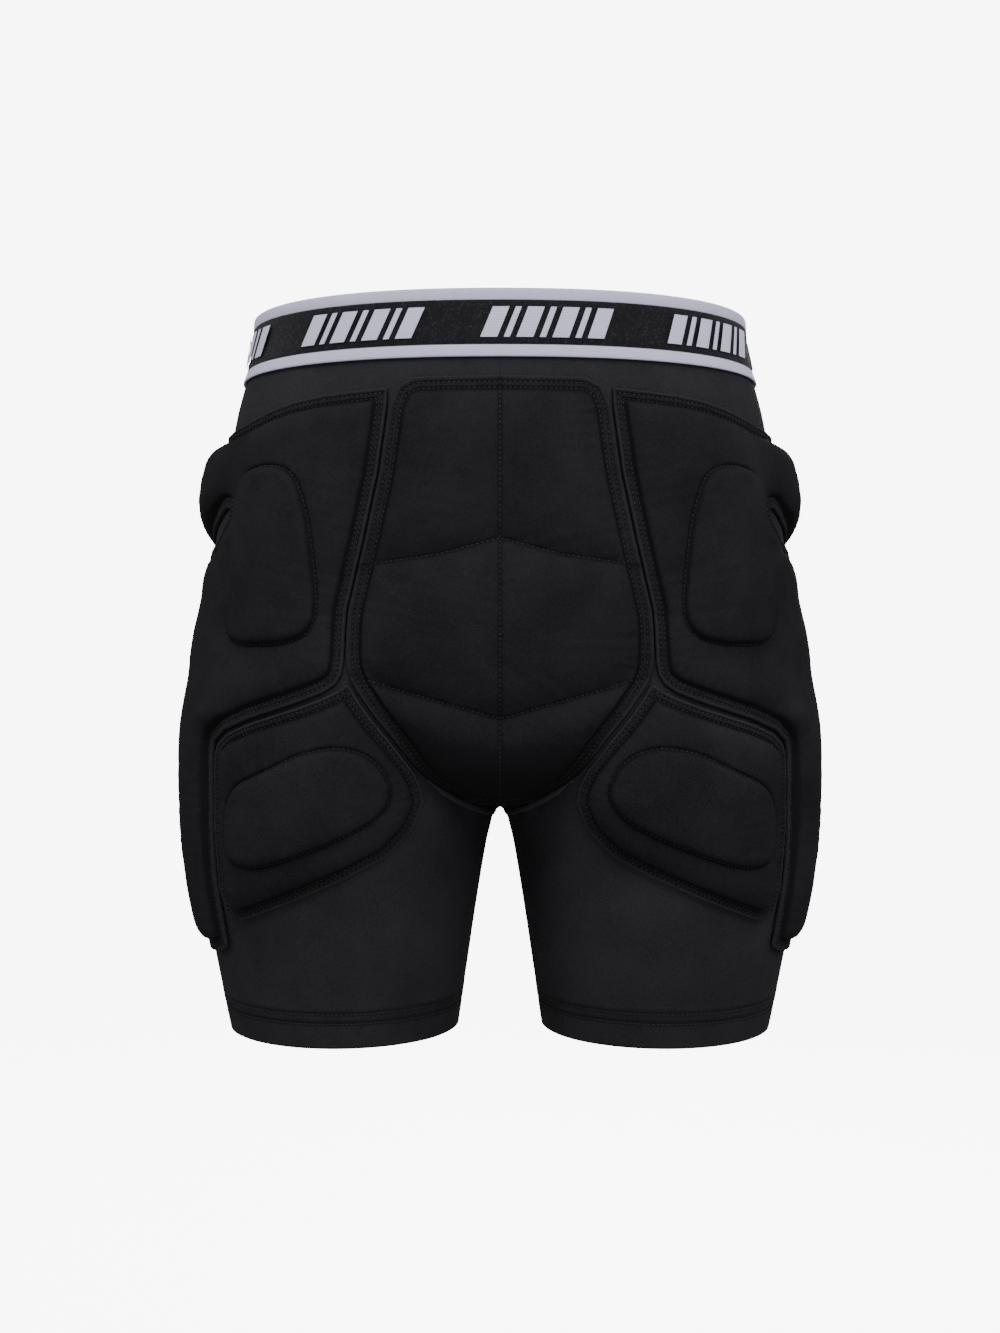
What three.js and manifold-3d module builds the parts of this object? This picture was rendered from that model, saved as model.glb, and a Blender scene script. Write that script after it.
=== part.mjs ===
// Padded impact shorts: a stretch-knit shell with sewn-on foam pads in quilted covers.
// Millimetres. +Z up, the wearer faces -Y, the wearer's left is +X.
// Origin: centre of the waist opening, in the plane of the waistband's top edge.
import * as THREE from "three";
import { mergeVertices } from "three/addons/utils/BufferGeometryUtils.js";
import Module from "manifold-3d";

const wasm = await Module();
wasm.setup();

// ---- Overall sizes ----
const RISE = 300; // waist edge down to the crotch
const INSEAM = 140; // crotch down to the hem
const WAIST_HALF = 157; // half the width of the waist opening
const WAIST_FRONT = 110; // waist depth in front of the side seams
const WAIST_BACK = 108; // waist depth behind them
const HIP_HALF = 177; // half the width at the seat
const HIP_FRONT = 116; // seat depth in front of the side seams
const HIP_BACK = 137; // seat depth behind them
const HEM_HALF = 73; // half the width of a leg opening
const HEM_DEPTH = 74; // half the depth of a leg opening
const CROTCH_GAP = 4; // half the gap between the legs just under the crotch
const GUSSET_HALF = 38; // the diamond gusset, from its middle to each corner
const GUSSET_FRONT = 70;
const GUSSET_BACK = 78;

// ---- Waistband and hems ----
const BAND_HEIGHT = 40;
const BAND_THICK = 2.2;
const BAND_LAP = 10; // how far the cloth runs up behind the band
const HEM_TURNUP = 28; // height of the turned-up layer inside each leg

// ---- Cloth, foam and covers ----
const GAP = 0.3; // clearance between touching pieces
const CLOTH = 1.5;
const COVER = 1.2; // cover cloth over the foam
const RIM_THICK = 2.2; // flat twin-stitched rim round each front panel
const RIM_WIDTH = 7;
const CHANNEL = 3; // sewn channel between two foam cells
const CENTER_FOAM = 7;
const HIP_FOAM = 8;
const SIDE_FOAM = 14;
const THIGH_FOAM = 9;
const SEAT_FOAM = 14;
const TAIL_FOAM = 12;

// ---- Base size of the paper pattern, from which every outline is graded ----
const BASE = { rise: 300, inseam: 140, half: 177, front: 116, back: 137 };
const gradeZ = (z) =>
  z > -BASE.rise ? (z * RISE) / BASE.rise : -RISE + ((z + BASE.rise) * INSEAM) / BASE.inseam;
const gradeX = (x) => (x * HIP_HALF) / BASE.half;
const gradeY = (y) => (y < 0 ? (y * HIP_FRONT) / BASE.front : (y * HIP_BACK) / BASE.back);

// ---- Fineness ----
const TRUNK_SIDES = 20;
const TRUNK_RINGS = 7;
const LEG_SIDES = 14;
const LEG_RINGS = 5;
const FULLNESS = 2.25; // superellipse exponent of the trunk's section
const OUTLINE_STEPS = 1; // segments in each rounded corner of an outline
const CORNER = 6; // how far a panel's corners are rounded back
const CRISP = 0.1; // the same for a seam or a cutting line
const SPARE = 20; // how far the body form runs past the waist and the hems
const REACH = 260; // half the length of a cutting prism

// Smooth chart of a body: rows of [level, size, size, ...], lowest level first.
function chart(rows) {
  const levels = rows.map((row) => row[0]);
  const sizes = new Float32Array(rows.flatMap((row) => row.slice(1)));
  const curve = new THREE.CubicInterpolant(levels, sizes, rows[0].length - 1);
  return (level) => Array.from(curve.evaluate(level));
}

// Trunk: level, half width, depth forward, depth back.
const trunkSizes = chart([
  [gradeZ(-300), gradeX(50), gradeY(-40), gradeY(45)],
  [gradeZ(-280), gradeX(120), gradeY(-84), gradeY(96)],
  [gradeZ(-250), gradeX(162), gradeY(-104), gradeY(122)],
  [gradeZ(-210), gradeX(178), gradeY(-113), gradeY(136)],
  [gradeZ(-160), HIP_HALF, -HIP_FRONT, HIP_BACK],
  [gradeZ(-100), gradeX(171), gradeY(-116), gradeY(126)],
  [-BAND_HEIGHT, WAIST_HALF + 5, -WAIST_FRONT - 3, WAIST_BACK + 5],
  [0, WAIST_HALF, -WAIST_FRONT, WAIST_BACK],
  [SPARE, WAIST_HALF, -WAIST_FRONT, WAIST_BACK],
]);

// Leg on the +X side: level, middle across, half width, middle in depth, half depth.
const hemMiddle = gradeX(98);
const legSizes = chart([
  [gradeZ(-440) - SPARE, hemMiddle, HEM_HALF, 1, HEM_DEPTH],
  [gradeZ(-440), hemMiddle, HEM_HALF, 1, HEM_DEPTH],
  [gradeZ(-400), hemMiddle, HEM_HALF + 7, -1, HEM_DEPTH + 10],
  [gradeZ(-350), gradeX(97), gradeX(87), -1.5, gradeY(95.5)],
  [gradeZ(-300), gradeX(91) + CROTCH_GAP, gradeX(91), 1.5, gradeY(106)],
  [gradeZ(-250), gradeX(95), gradeX(90), 4, gradeY(111)],
  [gradeZ(-210), gradeX(91), gradeX(85), 4, gradeY(106)],
  [gradeZ(-170), gradeX(88), gradeX(78), 2.5, gradeY(96)],
]);

// A closed body through rings of points that run round it counter-clockwise, lowest ring first.
// Its facets on the wearer's right mirror those on the left.
function loft(rings) {
  const sides = rings[0].length;
  const middle = (ring) =>
    ring.reduce((sum, point) => sum.add(point), new THREE.Vector3()).divideScalar(sides);
  const points = [...rings.flat(), middle(rings[0]), middle(rings.at(-1))];
  const foot = rings.length * sides;
  const faces = [];
  for (let side = 0; side < sides; side++) {
    const next = (side + 1) % sides;
    for (let row = 0; row < rings.length - 1; row++) {
      const [a, b] = [row * sides + side, row * sides + next];
      const [c, d] = [b + sides, a + sides];
      const onRight = points[a].x + points[b].x < 0;
      faces.push(...(onRight ? [a, b, d, b, c, d] : [a, b, c, a, c, d]));
    }
    faces.push(foot, next, side);
    faces.push(foot + 1, foot - sides + side, foot - sides + next);
  }
  const geometry = new THREE.BufferGeometry().setFromPoints(points);
  geometry.setIndex(faces);
  return geometry;
}

function solid(geometry) {
  const bare = geometry.clone();
  bare.deleteAttribute("normal");
  bare.deleteAttribute("uv");
  const merged = mergeVertices(bare, 1e-4);
  return new wasm.Manifold(
    new wasm.Mesh({
      numProp: 3,
      vertProperties: merged.attributes.position.array,
      triVerts: new Uint32Array(merged.index.array),
    }),
  );
}

const joined = (solids) => solids.reduce((whole, next) => whole.add(next));
const signedPower = (value, power) => Math.sign(value) * Math.abs(value) ** power;

// The trunk of the wearer, grown by an offset on all sides.
function trunk(offset) {
  const foot = -RISE - offset;
  const rings = [];
  for (let row = 0; row <= TRUNK_RINGS; row++) {
    const share = row / TRUNK_RINGS;
    const level = -RISE + (RISE + SPARE) * share;
    const [half, front, back] = trunkSizes(level);
    const ring = [];
    for (let side = 0; side < TRUNK_SIDES; side++) {
      const turn = (2 * Math.PI * side) / TRUNK_SIDES;
      const depth = Math.sin(turn) < 0 ? -front + offset : back + offset;
      ring.push(
        new THREE.Vector3(
          (half + offset) * signedPower(Math.cos(turn), 2 / FULLNESS),
          depth * signedPower(Math.sin(turn), 2 / FULLNESS),
          row ? level : foot,
        ),
      );
    }
    rings.push(ring);
  }
  return solid(loft(rings));
}

// One leg of the wearer; hand is 1 on the wearer's left and -1 on the right.
function leg(offset, hand) {
  const foot = -RISE - INSEAM - SPARE;
  const top = gradeZ(-170);
  const rings = [];
  for (let row = 0; row <= LEG_RINGS; row++) {
    const level = foot + ((top - foot) * row) / LEG_RINGS;
    const [middle, half, shift, depth] = legSizes(level);
    const ring = [];
    for (let side = 0; side < LEG_SIDES; side++) {
      const turn = (2 * Math.PI * side) / LEG_SIDES;
      ring.push(
        new THREE.Vector3(
          hand * middle + (half + offset) * Math.cos(turn),
          shift + (Math.abs(depth) + offset) * Math.sin(turn),
          level,
        ),
      );
    }
    rings.push(ring);
  }
  return solid(loft(rings));
}

const forms = new Map();
function form(offset) {
  if (!forms.has(offset)) forms.set(offset, joined([trunk(offset), leg(offset, 1), leg(offset, -1)]));
  return forms.get(offset);
}

// The layer of the garment between two offsets from the body form.
const layer = (inner, outer) => form(outer).subtract(form(inner));

// ---- Outlines ----

// A closed outline moved inwards by a distance; its corners stay sharp.
function inset(points, distance) {
  const turning = THREE.ShapeUtils.area(points) > 0 ? 1 : -1;
  return points.map((point, i) => {
    const before = points.at(i - 1);
    const after = points[(i + 1) % points.length];
    const arriving = point.clone().sub(before).normalize();
    const leaving = after.clone().sub(point).normalize();
    const bisector = new THREE.Vector2(-arriving.y - leaving.y, arriving.x + leaving.x).normalize();
    const normal = new THREE.Vector2(-arriving.y, arriving.x);
    return point.clone().addScaledVector(bisector, (turning * distance) / bisector.dot(normal));
  });
}

const MOST_CUT = 0.45; // the share of an edge that one rounded corner may take

// A shape with each corner rounded over up to the given length.
function rounded(points, radius) {
  const shape = new THREE.Shape();
  points.forEach((corner, i) => {
    const before = points.at(i - 1);
    const after = points[(i + 1) % points.length];
    const cutIn = Math.min(radius, corner.distanceTo(before) * MOST_CUT);
    const cutOut = Math.min(radius, corner.distanceTo(after) * MOST_CUT);
    const start = corner.clone().lerp(before, cutIn / corner.distanceTo(before));
    const end = corner.clone().lerp(after, cutOut / corner.distanceTo(after));
    if (i) shape.lineTo(start.x, start.y);
    else shape.moveTo(start.x, start.y);
    shape.quadraticCurveTo(corner.x, corner.y, end.x, end.y);
  });
  shape.closePath();
  return shape;
}

// A prism through the body along Y, from an outline seen from the front.
function frontPrism(outline, { shrink = 0, radius = CRISP, hand = 1, from = -REACH, to = REACH } = {}) {
  const points = outline.map(([x, z]) => new THREE.Vector2(gradeX(x) * hand, gradeZ(z)));
  const shape = rounded(inset(points, shrink), radius);
  const geometry = new THREE.ExtrudeGeometry(shape, {
    depth: to - from,
    bevelEnabled: false,
    curveSegments: OUTLINE_STEPS,
  });
  return solid(geometry.rotateX(Math.PI / 2).translate(0, to, 0));
}

// A prism along X on one side of the body, from an outline seen from that side.
function sidePrism(outline, { shrink = 0, radius = CRISP, hand = 1, from = 0 } = {}) {
  const points = outline.map(([y, z]) => new THREE.Vector2(gradeY(y), gradeZ(z)));
  const shape = rounded(inset(points, shrink), radius);
  const geometry = new THREE.ExtrudeGeometry(shape, {
    depth: REACH - from,
    bevelEnabled: false,
    curveSegments: OUTLINE_STEPS,
  });
  geometry.rotateX(Math.PI / 2).rotateZ(Math.PI / 2);
  return solid(geometry.translate(hand > 0 ? from : -REACH, 0, 0));
}

// A box between two corners.
function block(low, high) {
  const size = high.map((value, axis) => value - low[axis]);
  const geometry = new THREE.BoxGeometry(...size);
  return solid(geometry.translate(...low.map((value, axis) => value + size[axis] / 2)));
}

const mirrored = (points) => [
  ...points,
  ...points
    .filter(([x]) => x > 0)
    .reverse()
    .map(([x, z]) => [-x, z]),
];

// Where a leg's pieces part from the trunk's: under the pads' creases and round the thigh.
const LEG_ZONE = [
  [300, -258],
  [168, -258],
  [153.5, -249.8],
  [112, -236.8],
  [88, -224.5],
  [66, -252],
  [50, -275],
  [5, -299],
  [0.5, -301.5],
  [0.5, -480],
  [300, -480],
];

// Belly panel: one padded panel down the middle of the front.
const CENTER = mirrored([
  [0, -51],
  [48, -51.5],
  [57, -57],
  [62, -68],
  [67.5, -105],
  [76, -144],
  [84, -183],
  [86, -215],
  [84, -227],
  [71, -242],
  [57, -261],
  [42, -274],
  [18, -285],
]);
// Its six cells, on the +X side: above, between and below two chevrons of stitching.
const CENTER_CELLS = {
  upper: [[0, -51], [48, -51], [57, -57], [62, -68], [67.5, -105], [79, -158], [34, -152], [0, -143]],
  middle: [[0, -143], [34, -152], [79, -158], [86, -215], [84, -220], [40, -232], [0, -243]],
  lower: [
    ...[[0, -243], [40, -232], [84, -220], [84, -227], [71, -242]],
    ...[[57, -261], [42, -274], [18, -285], [0, -287]],
  ],
};

// Side panel: from the groin crease round the hip and down the outside of the thigh.
const SIDE_FRONT = [
  [62.5, -58],
  [91, -57],
  [137, -62],
  [167, -70],
  [300, -76],
  [300, -400],
  [153, -400],
  [158, -374],
  [166, -341],
  [168.5, -312],
  [168.5, -262],
  [164, -254],
  [139, -243.3],
  [112, -235.3],
  [90, -224],
  [88.3, -213],
  [86, -183],
  [78, -144],
  [69.4, -105],
  [64, -68],
];
const SIDE_PROFILE = [
  [-200, -40],
  [-79, -60],
  [-75, -80],
  [-63, -125],
  [-54, -144],
  [-30, -152],
  [0, -157],
  [40, -165],
  [60, -182],
  [70, -215],
  [72, -262],
  [70, -330],
  [62, -366],
  [40, -383],
  [0, -390],
  [-50, -384],
  [-80, -374],
  [-200, -374],
];
// The thick foam on the outside of the hip and thigh, inside that panel.
const SIDE_START = gradeX(120);
const SIDE_THICK = [
  [-38, -172],
  [0, -168],
  [38, -177],
  [54, -200],
  [58, -262],
  [54, -338],
  [36, -368],
  [0, -374],
  [-30, -368],
  [-44, -345],
  [-48, -262],
  [-48, -200],
];

// Thigh panel, on the front of each leg.
const THIGH = [
  [90, -227.5],
  [112, -238.6],
  [139, -246.6],
  [153.5, -251.6],
  [163, -257],
  [166.5, -266],
  [166.5, -311],
  [163.5, -347],
  [159, -361],
  [149, -363.5],
  [114, -348],
  [88, -336],
  [66, -324],
  [52, -309],
  [45.5, -292],
  [47, -281],
  [67, -254],
];

// Pads behind: one over each buttock, wrapping to the side, and one over the tailbone.
const SEAT_BACK = [
  [46, -78],
  [90, -68],
  [150, -67],
  [300, -72],
  [300, -180],
  [165, -180],
  [112, -214],
  [84, -226],
  [58, -222],
  [46, -204],
];
const SEAT_PROFILE = [
  [250, -40],
  [-74, -62],
  [-70, -82],
  [-57, -127],
  [-46, -140],
  [0, -147],
  [40, -153],
  [75, -172],
  [110, -240],
  [250, -240],
];
const TAIL = mirrored([
  [0, -84],
  [20, -86],
  [34, -100],
  [37, -140],
  [34, -190],
  [22, -222],
  [0, -230],
]);

// ---- Materials ----
const finish = (color, roughness) => new THREE.MeshStandardMaterial({ color, roughness, metalness: 0 });
const stretchKnit = finish("#222224", 0.85);
const coverKnit = finish("#1e1e21", 0.8);
const elastic = finish("#14141c", 0.7);
const foam = finish("#3a3a3c", 0.95);

// ---- Pieces ----
const shorts = new THREE.Group();

function addPiece(name, made, material) {
  const data = made.getMesh();
  const geometry = new THREE.BufferGeometry();
  geometry.setAttribute("position", new THREE.BufferAttribute(data.vertProperties, 3));
  geometry.setIndex(new THREE.BufferAttribute(data.triVerts, 1));
  geometry.computeVertexNormals();
  const mesh = new THREE.Mesh(geometry, material);
  mesh.name = name;
  shorts.add(mesh);
}

const HANDS = { left: 1, right: -1 };
const WIDE = 2 * REACH;
const hemLevel = -RISE - INSEAM;
const between = (low, high) => block([-WIDE, -WIDE, low], [WIDE, WIDE, high]);
const legZone = (hand, shrink) => frontPrism(LEG_ZONE, { hand, shrink });
const legZones = joined([legZone(1, -GAP), legZone(-1, -GAP)]);
const onTrunk = (piece) => piece.subtract(legZones);

// Cloth shell: front, back and gusset on the trunk, and a tube for each leg.
const cloth = layer(-CLOTH, 0);
const clothTop = -BAND_HEIGHT + BAND_LAP;
const trunkCloth = onTrunk(cloth.intersect(between(-RISE - CLOTH - SPARE, clothTop)));
function gussetZone(grow) {
  const corners = [[GUSSET_HALF, 0], [0, GUSSET_BACK], [-GUSSET_HALF, 0], [0, -GUSSET_FRONT]];
  const shape = new THREE.Shape(inset(corners.map(([x, y]) => new THREE.Vector2(x, y)), -grow));
  const geometry = new THREE.ExtrudeGeometry(shape, { depth: RISE / 2, bevelEnabled: false });
  return solid(geometry.translate(0, 0, -RISE - SPARE));
}
const frontHalf = block([-WIDE, -WIDE, hemLevel - SPARE], [WIDE, -GAP / 2, SPARE]);
const backHalf = block([-WIDE, GAP / 2, hemLevel - SPARE], [WIDE, WIDE, SPARE]);
addPiece("front_cloth", trunkCloth.intersect(frontHalf).subtract(gussetZone(GAP)), stretchKnit);
addPiece("back_cloth", trunkCloth.intersect(backHalf).subtract(gussetZone(GAP)), stretchKnit);
addPiece("crotch_gusset", trunkCloth.intersect(gussetZone(0)), stretchKnit);
addPiece("waistband", layer(GAP, GAP + BAND_THICK).intersect(between(-BAND_HEIGHT, 0)), elastic);

const foamSkin = COVER + GAP;
const foamLayer = (zone, bottom, top) => layer(bottom, top).intersect(zone(foamSkin));

// A padded cover: its skin over each foam and its flat stitched rim, less the foam pockets.
// Each zone is a prism that shrinks by the distance it is given.
function cover(rim, pads) {
  const flat = layer(GAP, GAP + RIM_THICK).intersect(rim);
  const skins = pads.map(({ zone, top }) => layer(GAP, top + foamSkin).intersect(zone(0)));
  const pockets = pads.map(({ zone, top }) => form(top + GAP).intersect(zone(COVER)));
  return joined([flat, ...skins]).subtract(joined(pockets));
}

// Belly panel.
const centerZone = (shrink) => frontPrism(CENTER, { shrink, radius: CORNER, to: 0 });
const centerTop = GAP + CENTER_FOAM;
const centerFoams = foamLayer((shrink) => centerZone(RIM_WIDTH + shrink), GAP, centerTop);
for (const [side, hand] of Object.entries(HANDS)) {
  for (const [place, outline] of Object.entries(CENTER_CELLS)) {
    const cell = frontPrism(outline, { shrink: CHANNEL / 2, hand, to: 0 });
    addPiece(`center_foam_${place}_${side}`, onTrunk(centerFoams.intersect(cell)), foam);
  }
}
const centerPads = [{ zone: (shrink) => centerZone(RIM_WIDTH + shrink), top: centerTop }];
addPiece("center_cover", onTrunk(cover(centerZone(0), centerPads)), coverKnit);

// Tailbone pad.
const tailZone = (shrink) => frontPrism(TAIL, { shrink, radius: CORNER, from: 0 });
const tailTop = GAP + TAIL_FOAM;
addPiece("tailbone_foam", foamLayer(tailZone, GAP, tailTop), foam);
addPiece("tailbone_cover", cover(tailZone(0), [{ zone: tailZone, top: tailTop }]), coverKnit);

for (const [side, hand] of Object.entries(HANDS)) {
  const onLeg = (piece) => piece.intersect(legZone(hand, 0));
  const thighPanel = (shrink) => frontPrism(THIGH, { shrink, radius: CORNER, hand, to: 0 });

  // Side panel: a thin sheet of foam over the hip, with a thick one down the outside.
  const sideZone = (shrink) =>
    frontPrism(SIDE_FRONT, { shrink, radius: CORNER, hand }).intersect(
      sidePrism(SIDE_PROFILE, { shrink, radius: CORNER, hand }),
    );
  const hipZone = (shrink) => sideZone(RIM_WIDTH + shrink);
  const thickZone = (shrink) => sidePrism(SIDE_THICK, { shrink, hand, from: SIDE_START });
  const hipTop = GAP + HIP_FOAM;
  const sideTop = GAP + SIDE_FOAM;
  const sideCover = cover(sideZone(0), [
    { zone: hipZone, top: hipTop },
    { zone: thickZone, top: sideTop },
  ]);
  const hipSheet = foamLayer(hipZone, GAP, hipTop).subtract(thickZone(COVER));
  const sideFoam = foamLayer(thickZone, GAP, sideTop);
  addPiece(`hip_foam_${side}`, onTrunk(hipSheet), foam);
  addPiece(`side_foam_upper_${side}`, onTrunk(sideFoam), foam);
  addPiece(`hip_cover_${side}`, onTrunk(sideCover), coverKnit);
  addPiece(`side_foam_${side}`, onLeg(sideFoam), foam);
  addPiece(`side_cover_${side}`, onLeg(sideCover), coverKnit);

  // Seat pad.
  const seatZone = (shrink) =>
    frontPrism(SEAT_BACK, { shrink, hand }).intersect(sidePrism(SEAT_PROFILE, { shrink, hand }));
  const seatTop = GAP + SEAT_FOAM;
  addPiece(`seat_foam_${side}`, foamLayer(seatZone, GAP, seatTop), foam);
  addPiece(`seat_cover_${side}`, cover(seatZone(0), [{ zone: seatZone, top: seatTop }]), coverKnit);

  // Leg tube with its turned-up hem.
  addPiece(`leg_cloth_${side}`, onLeg(cloth.intersect(between(hemLevel, clothTop))), stretchKnit);
  const hemLayer = layer(-CLOTH - GAP - CLOTH, -CLOTH - GAP);
  const hemZone = onLeg(between(hemLevel, hemLevel + HEM_TURNUP));
  addPiece(`hem_turnup_${side}`, hemLayer.intersect(hemZone), stretchKnit);

  // Thigh panel.
  const thighZone = (shrink) => thighPanel(RIM_WIDTH + shrink);
  const thighTop = GAP + THIGH_FOAM;
  const thighCover = cover(thighPanel(0), [{ zone: thighZone, top: thighTop }]);
  addPiece(`thigh_foam_${side}`, foamLayer(thighZone, GAP, thighTop), foam);
  addPiece(`thigh_cover_${side}`, onLeg(thighCover), coverKnit);
}

export default shorts;
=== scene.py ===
"""Looks of a pair of padded impact shorts, laid out as an add-on and run as a script."""

import math

import bmesh
import bpy
import numpy as np
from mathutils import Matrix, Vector
from mathutils.geometry import delaunay_2d_cdt
from mathutils.kdtree import KDTree


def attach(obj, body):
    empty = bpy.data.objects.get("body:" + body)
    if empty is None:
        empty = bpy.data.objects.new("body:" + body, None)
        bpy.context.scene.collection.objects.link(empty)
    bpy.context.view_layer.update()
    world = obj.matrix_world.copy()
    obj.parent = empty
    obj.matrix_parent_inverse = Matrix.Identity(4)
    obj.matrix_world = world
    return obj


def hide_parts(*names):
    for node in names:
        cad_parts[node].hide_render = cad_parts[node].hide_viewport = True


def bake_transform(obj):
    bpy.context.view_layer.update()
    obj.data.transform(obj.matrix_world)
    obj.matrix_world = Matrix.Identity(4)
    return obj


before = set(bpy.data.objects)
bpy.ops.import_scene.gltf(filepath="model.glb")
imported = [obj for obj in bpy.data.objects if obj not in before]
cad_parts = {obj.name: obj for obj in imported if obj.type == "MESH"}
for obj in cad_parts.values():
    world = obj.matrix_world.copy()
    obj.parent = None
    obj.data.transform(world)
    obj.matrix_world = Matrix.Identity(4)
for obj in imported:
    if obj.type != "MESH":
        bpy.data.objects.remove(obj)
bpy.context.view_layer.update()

bl_info = {
    "name": "Padded impact shorts",
    "version": (1, 0, 0),
    "blender": (4, 5, 0),
    "location": "3D View > Sidebar > Impact Shorts",
    "description": "Builds the padded impact shorts round their frame",
    "category": "Object",
}

MM = 0.001
SIDES = {"left": 1, "right": -1}
OUTLINE_STEP = 1.5  # mm between the points of an outline
CLOTH_FACE = 1.5  # mm from the wearer's form to the outside of the cloth
BAND_HEIGHT = 40  # mm of waistband, from its top edge down
WAIST_MEAN = 136.0  # mm, mean distance of the waistband from its middle
HEM_LEVEL = -440  # mm, the lower end of each leg
WAVE = 0.31416  # a wave texture's bands are 2 pi / 20 of a unit apart
STITCH = (2.1, 0.62, 0.42)  # mm: length, width and height of one stitch of thread


def linear(code):
    """The linear colour of an sRGB hex code."""
    parts = [int(code[i : i + 2], 16) / 255 for i in (0, 2, 4)]
    return tuple(c / 12.92 if c < 0.04045 else ((c + 0.055) / 1.055) ** 2.4 for c in parts)


# ---------------------------------------------------------------- the wearer's form, in mm
# Trunk: level, half width, depth forward, depth back.
TRUNK_ROWS = [
    (-301, 10, -8, 10),
    (-296, 46, -38, 42),
    (-280, 120, -84, 96),
    (-250, 162, -104, 122),
    (-210, 176, -113, 136),
    (-160, 177.5, -116, 137),
    (-125, 175, -116, 131),
    (-95, 169.5, -115.5, 125),
    (-60, 163.2, -113.5, 117),
    (-44, 159, -112, 113.5),
    (-34, 156, -111, 111.5),
    (-18, 153.2, -109.6, 109.2),
    (0, 152.4, -109, 108),
]
# Leg on the wearer's left: level, middle across, half width, middle in depth, half depth.
LEG_ROWS = [
    (-440, 97.9, 69.8, 1, 73),
    (-400, 98.8, 76.8, -1, 83.5),
    (-350, 99.2, 84.8, -1.5, 95.5),
    (-325, 98, 88, 0, 101),
    (-300, 95, 90.5, 1.5, 106),
    (-250, 94, 90, 4, 111),
    (-210, 90, 84, 4, 106),
    (-170, 86, 76, 2.5, 96),
]
TRUNK_END, LEG_TOP = TRUNK_ROWS[0][0], LEG_ROWS[-1][0]
FULLNESS = 2.25  # exponent of the trunk's section, between an ellipse and a rounded box
FOLD = 8  # width of the soft blend between trunk and leg
HEM_ROWS = (-418.5, -424.5)  # levels of the two rows of stitches at the hem
AXIS = 60  # the side panels are laid out round an upright line this far from the middle
ROUND = 120  # mean distance of that line from the cloth

# Panel outlines: F points are across and up from the front, B from the back, and S points
# are front-to-back and up from the side.
BELLY = [(0, -51), (48, -51.5), (57.5, -56.5), (62.3, -68), (67.5, -105), (76, -144),
         (85.5, -183.7), (86.5, -193.4), (87.3, -209), (86.8, -216), (84.8, -223.5),
         (82, -228.9), (78.2, -234.4), (73.6, -241.8), (65, -252.4), (53, -268.4), (46, -277),
         (37, -285.5), (28, -290.5), (14, -294.5), (0, -295.5)]
BELLY_SEAMS = [
    ([(0, -51), (0, -290)], 1.1, 6.0),
    ([(-79, -158), (-34, -152), (0, -143), (34, -152), (79, -158)], 3.2, 13.0),
    ([(-84, -220), (-40, -232), (0, -243), (40, -232), (84, -220)], 4.4, 17.0),
]
SIDE = [
    ("F", [(63, -57), (80, -58), (99, -59.2), (115.4, -61.2), (127.8, -64), (139.3, -67.6),
           (148.1, -70.6), (154.5, -72.2)]),
    ("S", [(-34, -73.6), (0, -74), (40, -73)]),
    ("B", [(132, -71), (90, -71), (46, -80), (46, -204), (58, -222), (84, -226), (112, -214),
           (146, -190)]),
    ("S", [(75, -172), (40, -152), (0, -140), (-36, -128), (-50, -120), (-57, -121),
           (-56, -127), (-44, -139), (-20, -147), (0, -150.5), (30, -160), (58, -180),
           (70, -215), (72, -262), (70, -330), (62, -366), (40, -383), (0, -390),
           (-46, -387)]),
    ("F", [(160, -382), (166.5, -341), (168.5, -312), (168.8, -268), (167.5, -259.9),
           (160.1, -252.9), (143.7, -245.9), (119.6, -238), (109.8, -234.4), (100.1, -230.5),
           (93.6, -226), (90.3, -221), (89, -215.5), (88.4, -209), (87.4, -193.4),
           (86.6, -183.7), (77.2, -144), (68.7, -105), (63.6, -68)]),
]
SEAT_SEAMS = [([(232, -62), (240, -110), (238, -150)], 3.4, 13.0),
              ([(239, -128), (300, -141), (386, -132)], 3.0, 12.0)]
HIP_OVAL = [("F", [(143, -103), (135.6, -99.7), (127.6, -99.5), (119.8, -101),
                   (113.8, -105.4), (109.7, -114.3), (106.1, -128.8), (103.8, -143.1),
                   (101.6, -165.9), (101.1, -177.5), (102.3, -189), (105.8, -196),
                   (112.5, -200.7), (124, -203.7), (142, -203.4), (150, -200), (154.7, -192),
                   (156, -178), (155, -150), (152, -124), (148.5, -109)])]
THIGH = [(86.5, -224.5), (91.3, -228.7), (100.1, -233.2), (109.8, -237.2), (119.6, -240.6),
         (143.6, -248.4), (157.3, -254.4), (164.5, -261), (166.8, -269), (166.8, -311),
         (163.5, -347), (159, -361), (149, -363.5), (114, -348), (88, -336), (66, -324),
         (52, -309), (45.8, -294), (47.6, -283.7), (52.4, -273.5), (61.8, -260.2),
         (74.3, -244.4), (80.6, -235), (83.6, -229.3)]
THIGH_OVAL = [(94, -260.5), (84.5, -261.8), (76.5, -265.5), (69.5, -273), (65, -283.6),
              (66, -292.5), (75, -302), (94.3, -312.8), (118.9, -324), (134, -329.4),
              (146, -330.1), (151.5, -326), (153, -317.4), (152.5, -296), (147, -283.4),
              (128, -273.5), (110.5, -264)]
TAIL = [(0, -84), (20, -86), (34, -100), (37, -140), (34, -190), (22, -222), (0, -230)]
GUSSET_SEAM = [(45, -84, -279), (38, -76, -288), (30, -66, -294), (22, -52, -299),
               (16, -30, -303), (13, 0, -305), (14, 30, -304), (20, 58, -299), (30, 80, -291),
               (42, 98, -281), (54, 112, -266), (62, 122, -250)]


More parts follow.
